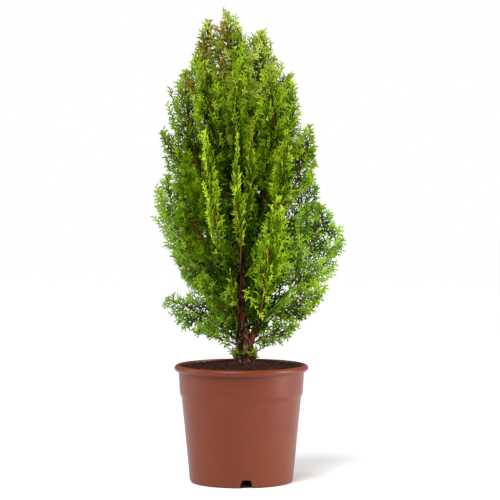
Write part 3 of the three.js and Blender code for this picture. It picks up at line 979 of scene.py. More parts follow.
@dataclass
class SprigMaker:
    """Templates of the flat sprig: an axis of scale leaves with alternate forked fingers."""

    lengths: tuple[float, ...] = (8.0, 12.0, 16.5, 22.0, 29.0, 37.0)
    variants: int = 4
    width: float = 1.6  # mm, one finger
    thick: float = 0.85
    pitch: float = 2.8  # mm between neighbouring fingers
    parting: tuple[float, float] = (34.0, 43.0)  # degrees between a finger and its axis
    feathering: float = 0.16  # how unevenly the fingers leave the sprig's plane
    belly: float = 0.64  # where a finger is widest, as a share of its length
    root_width: float = 0.7  # width of a finger or axis where it starts, as a share of its widest
    axis_width: float = 0.95  # width of the axis further out, likewise
    axis_parts: int = 3
    bends: tuple[float, float] = (0.03, 0.13)  # how far a sprig bends, as a share of its length
    bare: tuple[float, float] = (2.2, 1.8)  # mm without fingers at its start and at its end
    finger: tuple[float, float] = (4.0, 0.2)  # mm, shortest finger, and its gain with the sprig's length
    forks: tuple[tuple[float, ...], ...] = ((6.9, 0.42, 0.48, 1), (8.8, 0.6, 0.36, -1))
    # for each fork of a finger: the least length in mm that has it, where it leaves, its share and its side
    forking: tuple[float, float] = (26.0, 36.0)  # degrees between a fork and its finger
    seed: int = 41

    def add_finger(self, start: np.ndarray, heading: float, rise: float, length: float,
                   shape: dict[str, list]) -> None:
        """Add one blunt closed finger of eight triangles, ridged on one side.

        Args:
            start: Where it leaves its axis, in the sprig's plane.
            heading: Its direction in that plane, in radians.
            rise: How steeply it leaves that plane.
            length: Its length in mm.
            shape: The lists that take the corners, faces and lifts.
        """
        ahead = np.array([math.cos(heading), math.sin(heading), 0.0])
        aside = np.array([-ahead[1], ahead[0], 0.0]) * (self.width / 2)
        ridge = np.array([0.0, 0.0, self.thick / 2])
        ahead[2] = rise
        belly = start + ahead * length * self.belly
        first = len(shape["corners"])
        narrow = aside * self.root_width
        shape["corners"] += [start + narrow, start - narrow, belly + aside, belly - aside,
                             belly + ridge, start + ahead * length]
        near = [(0, 1, 4), (0, 4, 2), (1, 3, 4), (0, 2, 3, 1)]
        far = [(2, 4, 5), (4, 3, 5), (2, 5, 3)]
        shape["faces"] += [tuple(first + k for k in face) for face in near + far]
        # The far faces are one tone lighter: new growth and painted light on the finger's end.
        shape["lifts"] += [0] * len(near) + [1] * len(far)

    def add_axis(self, length: float, bend: float, shape: dict[str, list]) -> None:
        """Add the curved three-sided axis of a sprig.

        Args:
            length: Its length in mm.
            bend: How far it bends, as a share of its length.
            shape: The lists that take the corners, faces and lifts.
        """
        count = self.axis_parts
        first = len(shape["corners"])
        half = self.width / 2
        for k in range(count):
            share = k / count
            middle = np.array([length * share, bend * length * share ** 2, 0.0])
            width = half * (self.axis_width if k else self.root_width)
            aside = np.array([-2 * bend * share, 1.0, 0.0]) * width
            ridge = middle + np.array([0.0, 0.0, self.thick / 2])
            shape["corners"] += [middle + aside, ridge, middle - aside]
        shape["corners"].append(np.array([length, bend * length, 0.0]))
        ring = [(0, 1), (1, 2), (2, 0)]
        for k in range(count - 1):
            base = first + 3 * k
            shape["faces"] += [(base + b, base + a, base + 3 + a, base + 3 + b) for a, b in ring]
            shape["lifts"] += [0] * 3
        base = first + 3 * (count - 1)
        shape["faces"] += [(base + b, base + a, first + 3 * count) for a, b in ring]
        shape["faces"].append((first, first + 1, first + 2))
        # The end faces are one tone lighter: new growth and painted light.
        shape["lifts"] += [1] * 3 + [0]

    def sprig(self, length: float, random: np.random.Generator) -> Mesh:
        """Make one sprig, lying in its own XY plane and bending towards +Y.

        Args:
            length: Its length in mm.
            random: The source of chance.

        Returns:
            The sprig's mesh, whose faces say whether they are one tone lighter: the outer part of each finger
            and of its axis, as new growth and painted light.
        """
        shape = {"corners": [], "faces": [], "lifts": []}
        bend = random.uniform(*self.bends)
        self.add_axis(length, bend, shape)
        spot, side = self.bare[0], random.choice([-1, 1])
        shortest, gain = self.finger
        while spot < length - self.bare[1]:
            share = spot / length
            start = np.array([spot, bend * length * share ** 2, random.uniform(-0.2, 0.2)])
            swell = math.sin(math.pi * min(1.0, 0.3 + 0.7 * share))
            reach = (shortest + gain * length * swell) * random.uniform(0.82, 1.15)
            heading = side * math.radians(random.uniform(*self.parting)) + 2 * bend * share
            rise = random.normal(0, self.feathering)
            ahead = np.array([math.cos(heading), math.sin(heading), rise])
            self.add_finger(start, heading, rise, reach, shape)
            for least, knee, fork, way in self.forks:
                if reach > least:
                    turn = heading + way * side * math.radians(random.uniform(*self.forking))
                    self.add_finger(start + ahead * knee * reach, turn, rise, fork * reach + 0.4, shape)
            spot += self.pitch * random.uniform(0.88, 1.12)
            side = -side
        mesh = mesh_of("sprig", np.array(shape["corners"]) * MM, shape["faces"])
        store(mesh, "lift", "INT", "FACE", shape["lifts"])
        return mesh

    def templates(self) -> Collection:
        """Make every length in every variant.

        Returns:
            The collection that the growth tree picks from.
        """
        random = np.random.default_rng(self.seed)
        shelf = bpy.data.collections.new("sprig_templates")
        for row, length in enumerate(self.lengths):
            for variant in range(self.variants):
                mesh = self.sprig(length, random)
                shelf.objects.link(bpy.data.objects.new(f"sprig_{row:02d}_{variant:02d}", mesh))
        return shelf


@dataclass
class Sprigs:
    """Places, turns, sizes, shapes and tones of the sprigs of one piece of the crown."""

    places: list[Vector] = field(default_factory=list)
    turns: list[tuple[float, ...]] = field(default_factory=list)
    sizes: list[float] = field(default_factory=list)
    picks: list[int] = field(default_factory=list)
    tones: list[int] = field(default_factory=list)

    def mesh(self, name: str) -> Mesh:
        """Make the loose points that the growth tree hangs the sprigs on.

        Args:
            name: The mesh's name.

        Returns:
            The points with all that is noted of each sprig.
        """
        mesh = mesh_of(name, self.places, ())
        store(mesh, "turn", "FLOAT_VECTOR", "POINT", self.turns)
        store(mesh, "size", "FLOAT", "POINT", self.sizes)
        store(mesh, "pick", "INT", "POINT", self.picks)
        store(mesh, "tone", "INT", "POINT", self.tones)
        return mesh


def sprig_tree(shelf: Collection, tones: list[Material]) -> NodeTree:
    """Build the tree that hangs sprigs on points and deals out the leaf colours.

    Args:
        shelf: The sprig templates.
        tones: The leaf materials in palette order.

    Returns:
        A geometry tree with the input Stature, which scales every sprig.
    """
    tree, sizes = geometry_tree("sprigs_on_points", {"Stature": 1.0})
    add = partial(add_node, tree)
    kinds = {"turn": "FLOAT_VECTOR", "size": "FLOAT", "pick": "INT", "tone": "INT", "lift": "INT"}
    noted = {name: add("GeometryNodeInputNamedAttribute", {"Name": name}, data_type=kind)
             for name, kind in kinds.items()}
    picked = add("GeometryNodeCollectionInfo", {
        "Collection": shelf, "Separate Children": True, "Reset Children": True})
    turn = add("FunctionNodeEulerToRotation", {"Euler": noted["turn"]})
    size = add("ShaderNodeMath", {0: noted["size"], 1: sizes.outputs["Stature"]}, operation="MULTIPLY")
    hung = add("GeometryNodeInstanceOnPoints", {
        "Points": sizes.outputs["Geometry"], "Instance": picked, "Pick Instance": True,
        "Instance Index": noted["pick"], "Rotation": turn, "Scale": size})
    # A face's lift makes it one step lighter: new growth and painted light.
    shade = add("FunctionNodeIntegerMath", {0: noted["tone"], 1: noted["lift"]}, operation="ADD")
    finish_tree(tree, hung, tones, shade)
    return tree


@dataclass(frozen=True)
class Habit:
    """How one mass grows and which tone its sprays take."""

    ramp: Ramp = Ramp.WARM
    # step: its usual tone, partly the mass's own colour and partly painted light and shade: lighter for
    # masses out in the light, darker for shaded ones
    step: float = 4.0
    tip_gap: float = 10.0  # mm, least distance between two spray tips
    openness: float = 0.0  # share of laterals left out, where sky shows through
    bronze: float = 0.0  # share of sprays turned bronze
    twist: float = 7.0  # degrees, how unevenly the sprays' planes stand
    coarse: float = 1.0  # how much larger than usual the fingers are
    tip_growth_and_light: float = 2.4  # steps by which a spray lightens towards its end: lighter new growth, with painted light on its outer sprigs and painted shade on its inner ones
    pitch: float = 5.6  # mm between neighbouring laterals
    lateral: float = 38.0  # mm, longest lateral
    lift: float = 0.12  # how far a spray curves up, as a share of its length
    uplift: float = 0.22  # how much every lateral turns towards the light
    overshoot: float = 6.0  # mm, how far a lateral may pass the wall of its mass
    frond_gap: float = 0.0  # mm between the rows of a flat fan, and 0 for sprays all round
    shading: float = 2.6  # painted shade: steps by which a sprig deep in its mass is darker
    mingles: bool = True  # grows across a narrow gap to the neighbouring mass
    layers: tuple[tuple[float, float], ...] = ((0.0, -0.12), (0.0, 0.0), (0.0, 0.12))
    # for each layer of a fan: its turn about the stem in degrees, and its slant out of that plane


def fan(ramp: Ramp, step: float, gap: float = 3.0) -> Habit:
    """Give the habit of a flat open fan, whose fronds fork in one plane.

    Args:
        ramp: Its family of leaf colours.
        step: Its usual tone in that family.
        gap: The distance between its rows in mm.

    Returns:
        The habit.
    """
    return Habit(ramp, step, twist=3.0, tip_growth_and_light=1.8, pitch=5.4, lateral=30.0, lift=0.05, uplift=0.05,
                 overshoot=7.0, frond_gap=gap, shading=1.8, mingles=False)


def plume(step: float, bronze: float = 0.0) -> Habit:
    """Give the habit of an upright plume: flat fans that stand round its stem like the vanes of a dart.

    Args:
        step: Its usual tone.
        bronze: The share of its sprays that are turned bronze.

    Returns:
        The habit.
    """
    return Habit(step=step, bronze=bronze, twist=8.0, tip_growth_and_light=2.0, pitch=5.4, lateral=24.0,
                 uplift=0.15, frond_gap=3.0, shading=3.1,
                 layers=((0.0, -0.06), (45.0, 0.0), (90.0, 0.0), (135.0, 0.0), (10.0, 0.06)))


def ribbon(step: float) -> Habit:
    """Give the habit of a narrow upright shoot that stands clear of its neighbours."""
    return Habit(step=step, twist=18.0, tip_growth_and_light=1.7, lateral=20.0, overshoot=1.5, mingles=False)


# Each mass's step holds painted light and shade besides its own tone: masses out in the light take lighter
# steps, shaded ones darker.
HABITS = {
    "leader": plume(4.7, 0.22),
    "plume_top_left": plume(4.4, 0.4),
    "plume_top_right": plume(5.0),
    "plume_top_front": plume(5.0),
    "plume_left": plume(4.6, 0.05),
    "fan_left_mid": fan(Ramp.WARM, 4.6),
    "fan_left_low": fan(Ramp.COOL, 5.7, 3.1),
    "fan_left_under": fan(Ramp.COOL, 4.6),
    "skirt_left": replace(fan(Ramp.COOL, 4.0, 3.5), lift=-0.14, uplift=-0.06),
    "tuft_left": Habit(Ramp.COOL, 4.2),
    "plume_right": plume(4.5),
    "fan_right_mid": fan(Ramp.WARM, 4.4),
    "fan_right_low": fan(Ramp.COOL, 4.3, 2.8),
    "fan_right_under": fan(Ramp.WARM, 4.4),
    "skirt_right": fan(Ramp.COOL, 4.3),
    "fan_right_back": fan(Ramp.COOL, 3.4, 3.8),
    "ribbon_front_left": ribbon(6.4),
    "ribbon_front": ribbon(6.2),
    "ribbon_inner": ribbon(5.4),
    "ribbon_front_right": ribbon(6.0),
    "ribbon_right_upper": ribbon(5.8),
    "plume_front_left": plume(4.6),
    "plume_front": plume(4.7),
    "plume_front_right": plume(4.6),
    "fan_front_left": fan(Ramp.WARM, 4.2),
    "skirt_front_left": fan(Ramp.COOL, 3.6, 2.9),
    "skirt_front": ribbon(5.2),
    "skirt_front_right": fan(Ramp.COOL, 4.0, 2.8),
    "fan_back_left_low": fan(Ramp.COOL, 4.2, 3.2),
    "fan_back_left_mid": fan(Ramp.WARM, 4.6),
    "plume_back_left": plume(4.7),
    "fan_back_low": fan(Ramp.COOL, 4.8),
    "fan_back_mid": fan(Ramp.WARM, 4.8),
    "fan_back_right_low": fan(Ramp.COOL, 4.0, 3.2),
    "fan_back_right_mid": fan(Ramp.WARM, 4.6),
    "plume_back_right": plume(4.7),
    "plume_back": plume(4.7),
    # The inner masses take the darkest steps as painted shade inside the crown.
    "inner_low": Habit(step=0.8, tip_gap=13.0, twist=25, coarse=1.7),
    "inner_high": Habit(step=1.2, tip_gap=17.0, twist=25, coarse=1.7),
}

CROWN_PIECES = {
    "crown_top": ("leader", "plume_top_left", "plume_top_right", "plume_top_front", "plume_back"),
    "crown_left": ("plume_left", "fan_left_mid", "fan_left_low", "fan_left_under", "skirt_left", "tuft_left"),
    "crown_right": ("plume_right", "fan_right_mid", "fan_right_low", "fan_right_under", "skirt_right"),
    "crown_front_ribbons": ("ribbon_front_left", "ribbon_front", "ribbon_inner", "ribbon_front_right",
                            "ribbon_right_upper"),
    "crown_front": ("plume_front_left", "plume_front", "plume_front_right"),
    "crown_front_low": ("fan_front_left", "skirt_front_left", "skirt_front", "skirt_front_right"),
    "crown_back_left": ("fan_back_left_low", "fan_back_left_mid", "plume_back_left", "fan_back_low"),
    "crown_back_right": ("fan_back_mid", "fan_back_right_low", "fan_back_right_mid", "plume_back_right",
                         "fan_right_back"),
    "crown_inside": ("inner_low", "inner_high"),
}


def walls_of(nodes: Iterable[str]) -> BVHTree:
    """Join the walls of some nodes.

    Args:
        nodes: Their names.

    Returns:
        The walls as one ray-casting tree.
    """
    corners = np.concatenate([soup(node).reshape(-1, 3) for node in nodes])
    faces = [(i, i + 1, i + 2) for i in range(0, len(corners), 3)]
    return BVHTree.FromPolygons([Vector(c) for c in corners], faces)


LOOK_AHEAD = 50.0 * MM  # how far a short shoot looks for a wall


class Envelope:
    """The closed solid that a mass of foliage grows in."""

    gap_filled = 24.0 * MM  # widest gap to a neighbour that shoots grow across
    overlap = 9.0 * MM  # how far they then reach into it
    deepest = 25.0 * MM  # no place in a mass lies deeper under its wall
    cuts = 9
    margin = 0.06  # share of the mass left out at each end of the cuts
    upright = 0.4  # how much of the blade plane's own lean is kept
    end_share = 0.6  # how far the middle line goes on from the last cut to the wall

    def __init__(self, node: str, wood: Wood, around: BVHTree) -> None:
        """Read the node's middle line, its blade plane and its walls.

        Args:
            node: The node of the mass.
            wood: The limbs that carry it.
            around: The walls of all masses.
        """
        self.around = around
        self.web: Web | None = None
        triangles = soup(node)
        corners = triangles.reshape(-1, 3)
        self.walls = walls_of([node])
        cuts = stations(triangles, self.cuts, self.margin)
        spread = np.concatenate([cut.spread for cut in cuts])
        run = cuts[-1].centre - cuts[0].centre
        flat = np.linalg.svd(corners - corners.mean(0), full_matrices=False)[2]
        self.normal = Vector(flat[2])
        self.normal.z *= self.upright
        self.normal.normalize()
        self.line = [Vector(cut.centre) for cut in cuts]
        ahead = Vector(run).normalized()
        last = self.reach(self.line[-1], ahead, LOOK_AHEAD)
        self.line.append(self.line[-1] + ahead * (last * self.end_share))
        across = np.array(self.normal.cross(ahead).normalized())
        self.half_width = float(np.abs(spread @ across).max())
        self.half_thick = float(np.abs(spread @ np.array(self.normal)).max())
        self.root, self.root_girth = wood.nearest(self.line[0])

    def reach(self, start: Vector, heading: Vector, limit: float) -> float:
        """Give how far a shoot can go before it meets the wall, up to a limit."""
        hit = self.walls.ray_cast(start, heading, limit)
        return limit if hit[0] is None else hit[3]

    def depth(self, place: Vector) -> float:
        """Give how far inside the wall a place lies, in metres and 0 outside."""
        spot, normal, _, away = self.walls.find_nearest(place)
        return away if (place - spot).dot(normal) < 0 and away < self.deepest else 0.0

    def mingled(self, start: Vector, heading: Vector, limit: float, mingles: bool) -> float:
        """Give how far a shoot can go when it also fills a narrow gap beside its mass.

        Args:
            start: Where the shoot starts.
            heading: Its direction.
            limit: The most that its mass gives it.
            mingles: Whether it fills gaps at all.

        Returns:
            The distance in metres.
        """
        plain = self.reach(start, heading, limit)
        if not mingles:
            return plain
        beyond = self.around.ray_cast(start + heading * (plain + 0.4 * MM), heading, self.gap_filled)
        return plain if beyond[0] is None else plain + beyond[3] + self.overlap

    def along(self, share: float) -> tuple[Vector, Vector]:
        """Follow the middle line.

        Args:
            share: How far along it, from 0 to 1.

        Returns:
            The point there and the line's direction.
        """
        spot = min(share, 0.9999) * (len(self.line) - 1)
        k = int(spot)
        run = self.line[k + 1] - self.line[k]
        before = self.line[k] - self.line[k - 1] if k else run
        heading = before.normalized().lerp(run.normalized(), min(1.0, 0.5 + spot - k))
        return self.line[k] + run * (spot - k), heading.normalized()


class Web:
    """The places that the rows of one flat fan have taken, seen square on."""

    looked_at = np.array([0.5, 0.75, 1.0])  # shares of a row that must be clear
    tried = (1.0, 0.75, 0.5)  # shares of the wanted length

    def __init__(self, normal: Vector, gap: float) -> None:
        """Start empty.

        Args:
            normal: The normal of the fan.
            gap: The least distance between two rows, in metres.
        """
        self.normal = np.array(normal)
        self.gap = gap
        self.taken = np.empty((0, 3))

    def row(self, start: Vector, heading: Vector, length: float) -> np.ndarray:
        """Give the places of a row on the fan's plane."""
        places = np.array(start) + np.outer(self.looked_at * length, np.array(heading))
        return places - np.outer(places @ self.normal, self.normal)

    def free(self, row: np.ndarray) -> bool:
        """Tell whether a row keeps its distance from all others."""
        away = np.linalg.norm(self.taken[None] - row[:, None], axis=2)
        return not away.size or away.min() >= self.gap

    def take(self, row: np.ndarray) -> None:
        """Note a row."""
        self.taken = np.concatenate([self.taken, row])

    def fitted(self, start: Vector, heading: Vector, length: float) -> float:
        """Take the longest row that is free.

        Args:
            start: Where the row starts.
            heading: Its direction.
            length: The length that it wants.

        Returns:
            Its length, or 0 where there is no room.
        """
        for share in self.tried:
            row = self.row(start, heading, length * share)
            if self.free(row):
                self.take(row)
                return length * share
        return 0.0


@dataclass(frozen=True)
class Axis:
    """The gently rising middle line of one spray."""

    base: Vector
    heading: Vector
    run: float  # metres
    lift: float

    def at(self, share: float) -> Vector:
        """Give the place at a share of the run."""
        return self.base + self.heading * (self.run * share) + UP * (self.lift * self.run * share ** 2)

    def ahead(self, share: float) -> Vector:
        """Give the direction at a share of the run."""
        return (self.heading + UP * (2 * self.lift * share)).normalized()


class OpenAir:
    """Free space inside the crown, where nothing stops a lateral."""

    web = None

    def depth(self, place: Vector) -> float:
        """Give no depth, as the inner sprays' tone is darkened as painted shade already."""
        return 0.0

    def mingled(self, start: Vector, heading: Vector, limit: float, mingles: bool) -> float:
        """Give the whole limit."""
        return limit


@dataclass
class Growth:
    """One mass as it grows: what it stays in and its habit."""

    envelope: Envelope | OpenAir
    habit: Habit


def turned_about(vector: Vector, axis: Vector, angle: float) -> Vector:
    """Turn a vector about an axis by an angle in radians."""
    return Matrix.Rotation(angle, 3, axis) @ vector


@dataclass
class Crown:
    """All masses of foliage, grown spray by spray from the limbs by one seeded rule."""

    wood: Wood
    maker: SprigMaker = field(default_factory=SprigMaker)
    seed: int = 1479
    tries: int = 900  # spray candidates for each mass
    frond_tries: int = 1500  # frond candidates for each flat fan
    forking: float = 0.6  # share of fronds that leave another frond
    cut_back: tuple[float, ...] = (1.0, 1.0, 0.75, 0.5)  # of the way to the wall, shares that a frond goes
    longest: float = 95.0  # mm, longest spray
    shortest: float = 11.0
    least_row: float = 5.0  # mm, shortest lateral
    lateral_share: float = 0.5  # longest lateral as a share of its spray
    lateral_taper: float = 0.72  # how much shorter the laterals get along it
    lateral_angle: tuple[float, float] = (38.0, 12.0)  # degrees at its start, and by how much they fall
    end_share: float = 0.32  # length of a spray's end sprig as a share of the spray
    end_lengths: tuple[float, float] = (9.0, 19.0)  # mm, the least and the most of it
    bronze_step: float = 0.5  # tone of a spray turned bronze
    olive_fall: float = 0.7  # steps by which an olive spray is darker
    end_growth_and_light: float = 0.9  # steps by which the end sprig is lighter: lighter new growth and painted light
    end_overshoot: float = 6.0  # mm, how far a lateral may pass the end of its mass
    astray: float = 8.0  # mm outside every mass, past which nothing grows
    middle: float = 10.0  # mm, where the crown's middle stands on the x axis
    shaded_at: float = 10.0  # mm of depth at which a sprig has all of its habit's painted shade
    olive_from: float = 430.0  # mm, height above which sprays begin to turn olive
    olive_full: float = 620.0  # mm, height where all have
    inner: Habit = Habit(step=1.6, coarse=1.7)  # of the sprays inside the crown, whose low step is painted shade
    inner_gap: float = 2.3  # mm of limb for each of them
    inner_longest: float = 62.0  # mm, how far they look for a mass
    inner_usual: float = 50.0  # mm, length where there is none
    inner_shortest: float = 16.0  # mm, how far they go into a mass
    inner_floor: float = 202.0  # mm, height under which the limbs stay bare
    inner_top: float = 515.0  # mm, height over which they do too
    foot_gap: float = 6.0  # mm between the short sprays below a mass
    foot_lengths: tuple[float, float] = (14.0, 25.0)  # mm
    foot_shade: float = 0.8  # steps of painted shade: how much darker the short sprays under a mass are
    foot_floor: float = 216.0  # mm, height under which there are none
    trunk_clear: float = 7.0  # mm of bare stem next to the limb that it leaves
    bare_width: tuple[float, float] = (-7.0, 8.0)  # mm to the left and right of the trunk's middle
    bare_heights: tuple[float, float] = (192.0, 330.0)  # mm, between which its front stays bare
    tufts: int = 46
    tuft_height: float = 176.0  # mm
    tuft_lengths: tuple[float, float] = (7.0, 15.0)  # mm
    tuft_steps: tuple[float, float] = (2.2, 5.6)
    dead: tuple[tuple[float, float, float], ...] = ((-8, 26, 0.5), (70, 22, 0.7), (165, 20, 0.45),
                                                    (235, 15, 0.8))
    # for each dead twig: its azimuth in degrees, its length in mm and its rise as a share of that
    dead_girths: tuple[float, float] = (1.0, 0.45)  # mm, radius of a dead twig at its foot and at its tip
    golden: float = 2.4  # turn from one spray or tuft to the next, in radians
    crossing: Habit = Habit(step=7.0, tip_growth_and_light=1.2, lateral=15.0, lift=-0.32, uplift=-0.35, openness=0.2)
    # of one thin spray that hangs across the trunk
    crossing_start: tuple[float, float] = (1.0, 273.0)  # mm on the x axis, and height
    crossing_offset: tuple[float, float, float] = (-4.0, -2.5, 2.0)  # mm from the bark there to its base
    crossing_way: tuple[float, float, float] = (0.75, -0.3, -0.6)
    crossing_length: float = 48.0  # mm
    guarded: bool = True  # keeps the trunk's front bare and all growth near its mass
    open_air: OpenAir = field(default_factory=OpenAir)
    sprigs: Sprigs = field(default_factory=Sprigs)  # those of the piece that grows
    twigs: list[Polyline] = field(default_factory=list)
    stems: list[Polyline] = field(default_factory=list)

    def hang(self, start: Vector, heading: Vector, normal: Vector, length: float, tone: int,
             coarse: float) -> None:
        """Add one sprig.

        Args:
            start: Where the sprig leaves its axis.
            heading: Its direction.
            normal: The normal of its plane, roughly.
            length: Its length in metres.
            tone: Its place in the palette.
            coarse: How much larger than usual its fingers are.
        """
        if self.hides_trunk(start + heading * (0.5 * length)):
            return
        aside = normal.cross(heading).normalized()
        if aside.z < 0:
            aside.negate()
        above = heading.cross(aside).normalized()
        wanted = length / coarse
        row = min(range(len(self.maker.lengths)), key=lambda k: abs(self.maker.lengths[k] * MM - wanted))
        basis = Matrix((heading, aside, above)).transposed()
        self.sprigs.places.append(start)
        self.sprigs.turns.append(tuple(basis.to_euler("XYZ")))
        self.sprigs.sizes.append(length / (self.maker.lengths[row] * MM))
        self.sprigs.picks.append(row * self.maker.variants + int(self.random.integers(self.maker.variants)))
        self.sprigs.tones.append(tone)

    def hides_trunk(self, place: Vector) -> bool:
        """Tell whether a place lies in front of the lower trunk, which stays in sight.

        Args:
            place: The place.

        Returns:
            Whether it does.
        """
        low, high = self.bare_heights
        if not self.guarded or not low < place.z / MM < high:
            return False
        trunk = self.wood.lines["trunk"].points
        spot = min(trunk, key=lambda point: abs(point.z - place.z))
        left, right = self.bare_width
        return place.y < spot.y and left < (place.x - spot.x) / MM < right

    def strayed(self, place: Vector) -> bool:
        """Tell whether a place lies well clear of every mass, with none of them further out.

        Args:
            place: The place.

        Returns:
            Whether it does.
        """
        spot, normal, _, away = self.around.find_nearest(place)
        outside = (place - spot).dot(normal) > 0 or away > Envelope.deepest
        if not self.guarded or not outside or away < self.astray * MM:
            return False
        outward = Vector((place.x - self.middle * MM, place.y, 0.0)).normalized()
        return self.around.ray_cast(place, outward)[0] is None

    def spray(self, mass: Growth, base: Vector, heading: Vector, normal: Vector, length: float,
              beyond: float = 0.0) -> Axis:
        """Grow one flat spray: its axis, its alternate laterals and its end.

        Args:
            mass: Its mass.
            base: Where it leaves the stem.
            heading: Its first direction.
            normal: The normal of its plane.
            length: Its length in metres.
            beyond: How far its laterals may pass the mass's wall, mm.

        Returns:
            The spray's middle line.
        """
        random, envelope, habit = self.random, mass.envelope, mass.habit
        least, most = self.end_lengths
        end_length = min(max(self.end_share * length, least * MM), most * MM)
        run = length - 0.75 * end_length
        axis = Axis(base, heading, run, habit.lift)
        drift = random.normal(0, 0.75)
        ramp = Ramp.BRONZE if random.random() < habit.bronze else habit.ramp
        step = habit.step + drift if ramp is habit.ramp else self.bronze_step
        aged = (base.z / MM - self.olive_from) / (self.olive_full - self.olive_from)
        if ramp is not Ramp.BRONZE and random.random() < aged:
            ramp, step = Ramp.OLIVE, step - self.olive_fall
        pitch = habit.pitch * habit.coarse * MM / max(run, 1e-6)
        share = max(0.12, pitch * random.uniform(0.5, 1.2))
        side = random.choice([-1, 1])
        wide, fall = self.lateral_angle
        while share < 0.99:
            direction = axis.ahead(share)
            aside = normal.cross(direction).normalized() * side
            angle = math.radians(wide - fall * share + random.normal(0, 4))
            out_going = direction * math.cos(angle) + aside * math.sin(angle)
            tilt = math.radians(random.normal(0, 3))
            out_going = turned_about(out_going, direction, tilt)
            out_going = (out_going + UP * habit.uplift).normalized()
            swell = (0.55 + 0.45 * min(1.0, share / 0.25)) * (1 - self.lateral_taper * share)
            most = min(self.lateral_share * length + 5 * MM, habit.lateral * MM)
            wanted = most * swell * random.uniform(0.85, 1.12)
            origin = axis.at(share)
            allowed = envelope.mingled(origin, out_going, 60 * MM, habit.mingles)
            reach = min(wanted, allowed + beyond * MM)
            if envelope.web and reach > self.least_row * MM:
                reach = envelope.web.fitted(origin, out_going, reach)
            kept = random.random() >= habit.openness and not self.strayed(origin + out_going * reach)
            if kept and reach > self.least_row * MM:
                plane = turned_about(normal, out_going, math.radians(random.normal(0, 4)))
                middle = origin + out_going * (0.6 * reach)
                # Painted shade: a sprig deep in its mass is given a darker tone.
                shade = habit.shading * min(1.0, envelope.depth(middle) / (self.shaded_at * MM))
                # Towards the spray's end its sprigs lighten: new growth and painted light, with painted shade
                # nearer its foot.
                tone = ramp.tone(step + habit.tip_growth_and_light * (share - 0.5) - shade + random.normal(0, 0.85))
                self.hang(origin, out_going, plane, reach, tone, habit.coarse)
            share += pitch * random.uniform(0.8, 1.2)
            side = -side
        # The end sprig is lighter: new growth and painted light.
        tone = ramp.tone(step + self.end_growth_and_light + random.normal(0, 0.4))
        foot = axis.at(1.0) - axis.ahead(1.0) * (0.25 * end_length)
        self.hang(foot, axis.ahead(1.0), normal, end_length, tone, habit.coarse)
        self.twig(axis, 0.34 * MM + 0.005 * length)
        return axis

    def twig(self, axis: Axis, girth: float) -> None:
        """Add the woody first part and the green outer part of a spray's axis.

        Args:
            axis: The spray's middle line.
            girth: Its radius at its foot, in metres.
        """
        woody = [axis.at(share) for share in (0.0, 0.1, 0.2, 0.3)]
        green = [axis.at(share) for share in (0.29, 0.5, 0.75, 1.0)]
        if not self.hides_trunk(woody[2]):
            self.twigs.append(Polyline(woody, [girth, girth * 0.9, girth * 0.8, girth * 0.72]))
        if not self.hides_trunk(green[1]):
            radii = [girth * 0.72, girth * 0.64, girth * 0.56, girth * 0.45]
            self.twigs.append(Polyline(green, radii, True))

    def plane_of(self, envelope: Envelope, heading: Vector, twist: float) -> Vector:
        """Give the normal of a spray's plane: upright, and nearer to the blade's in a flat mass.

        Args:
            envelope: The spray's mass.
            heading: The spray's direction.
            twist: How unevenly such planes stand, in degrees.

        Returns:
            The unit normal.
        """
        upright = heading.cross(UP)
        if upright.length < 0.2:
            upright = envelope.normal.copy()
        upright.normalize()
        if upright.dot(envelope.normal) < 0:
            upright.negate()
        share = min(1.0, envelope.half_thick / envelope.half_width) ** 1.5
        normal = envelope.normal.lerp(upright, share)
        normal = normal - heading * normal.dot(heading)
        return turned_about(normal.normalized(), heading, math.radians(self.random.normal(0, twist)))

    def grow(self, node: str, habit: Habit) -> None:
        """Grow one mass: a stem up its middle, its sprays or fronds, its end and its foot.

        Args:
            node: The node of the mass.
            habit: Its way of growing.
        """
        envelope = Envelope(node, self.wood, self.around)
        mass = Growth(envelope, habit)
        line = [envelope.root, *envelope.line]
        foot = min(envelope.root_girth * 0.9, 1.4 * MM)
        radii = [foot + (0.45 * MM - foot) * k / (len(line) - 1) for k in range(len(line))]
        self.stems.append(Polyline(line, radii))
        if habit.frond_gap:
            run = (line[-1] - line[1]).normalized()
            for place, (turn, slant) in enumerate(habit.layers):
                normal = turned_about(envelope.normal, run, math.radians(turn))
                envelope.web = Web(normal, habit.frond_gap * MM)
                if not place:
                    self.tip(mass)
                self.fronds(mass, normal, slant)
            envelope.web = None
        else:
            self.sprays(mass)
            self.tip(mass)
        self.foot(mass)

    def sprays(self, mass: Growth) -> None:
        """Grow sprays all round the stem of a mass, whose tips keep apart.

        Args:
            mass: The mass.
        """
        random, envelope, habit = self.random, mass.envelope, mass.habit
        tips: list[Vector] = []
        for _ in range(self.tries):
            share = random.uniform(0.0, 1.0) ** 0.9
            base, forward = envelope.along(share)
            across = envelope.normal.cross(forward).normalized()
            angle = random.uniform(0, 2 * math.pi)
            sideways = across * (math.cos(angle) * envelope.half_width)
            sideways += envelope.normal * (math.sin(angle) * envelope.half_thick)
            off = math.radians(17 + 40 * (1 - share) ** 2.0 + random.normal(0, 5))
            heading = forward * math.cos(off) + sideways.normalized() * math.sin(off)
            heading.normalize()
            aim = (heading + UP * habit.lift).normalized()
            length = envelope.mingled(base, aim, self.longest * MM, habit.mingles)
            length *= random.uniform(0.8, 1.08)
            tip = base + aim * length
            crowded = any((tip - other).length < habit.tip_gap * MM for other in tips)
            if length < self.shortest * MM or crowded or self.strayed(tip):
                continue
            tips.append(tip)
            plane = self.plane_of(envelope, heading, habit.twist)
            self.spray(mass, base, heading, plane, length, habit.overshoot)

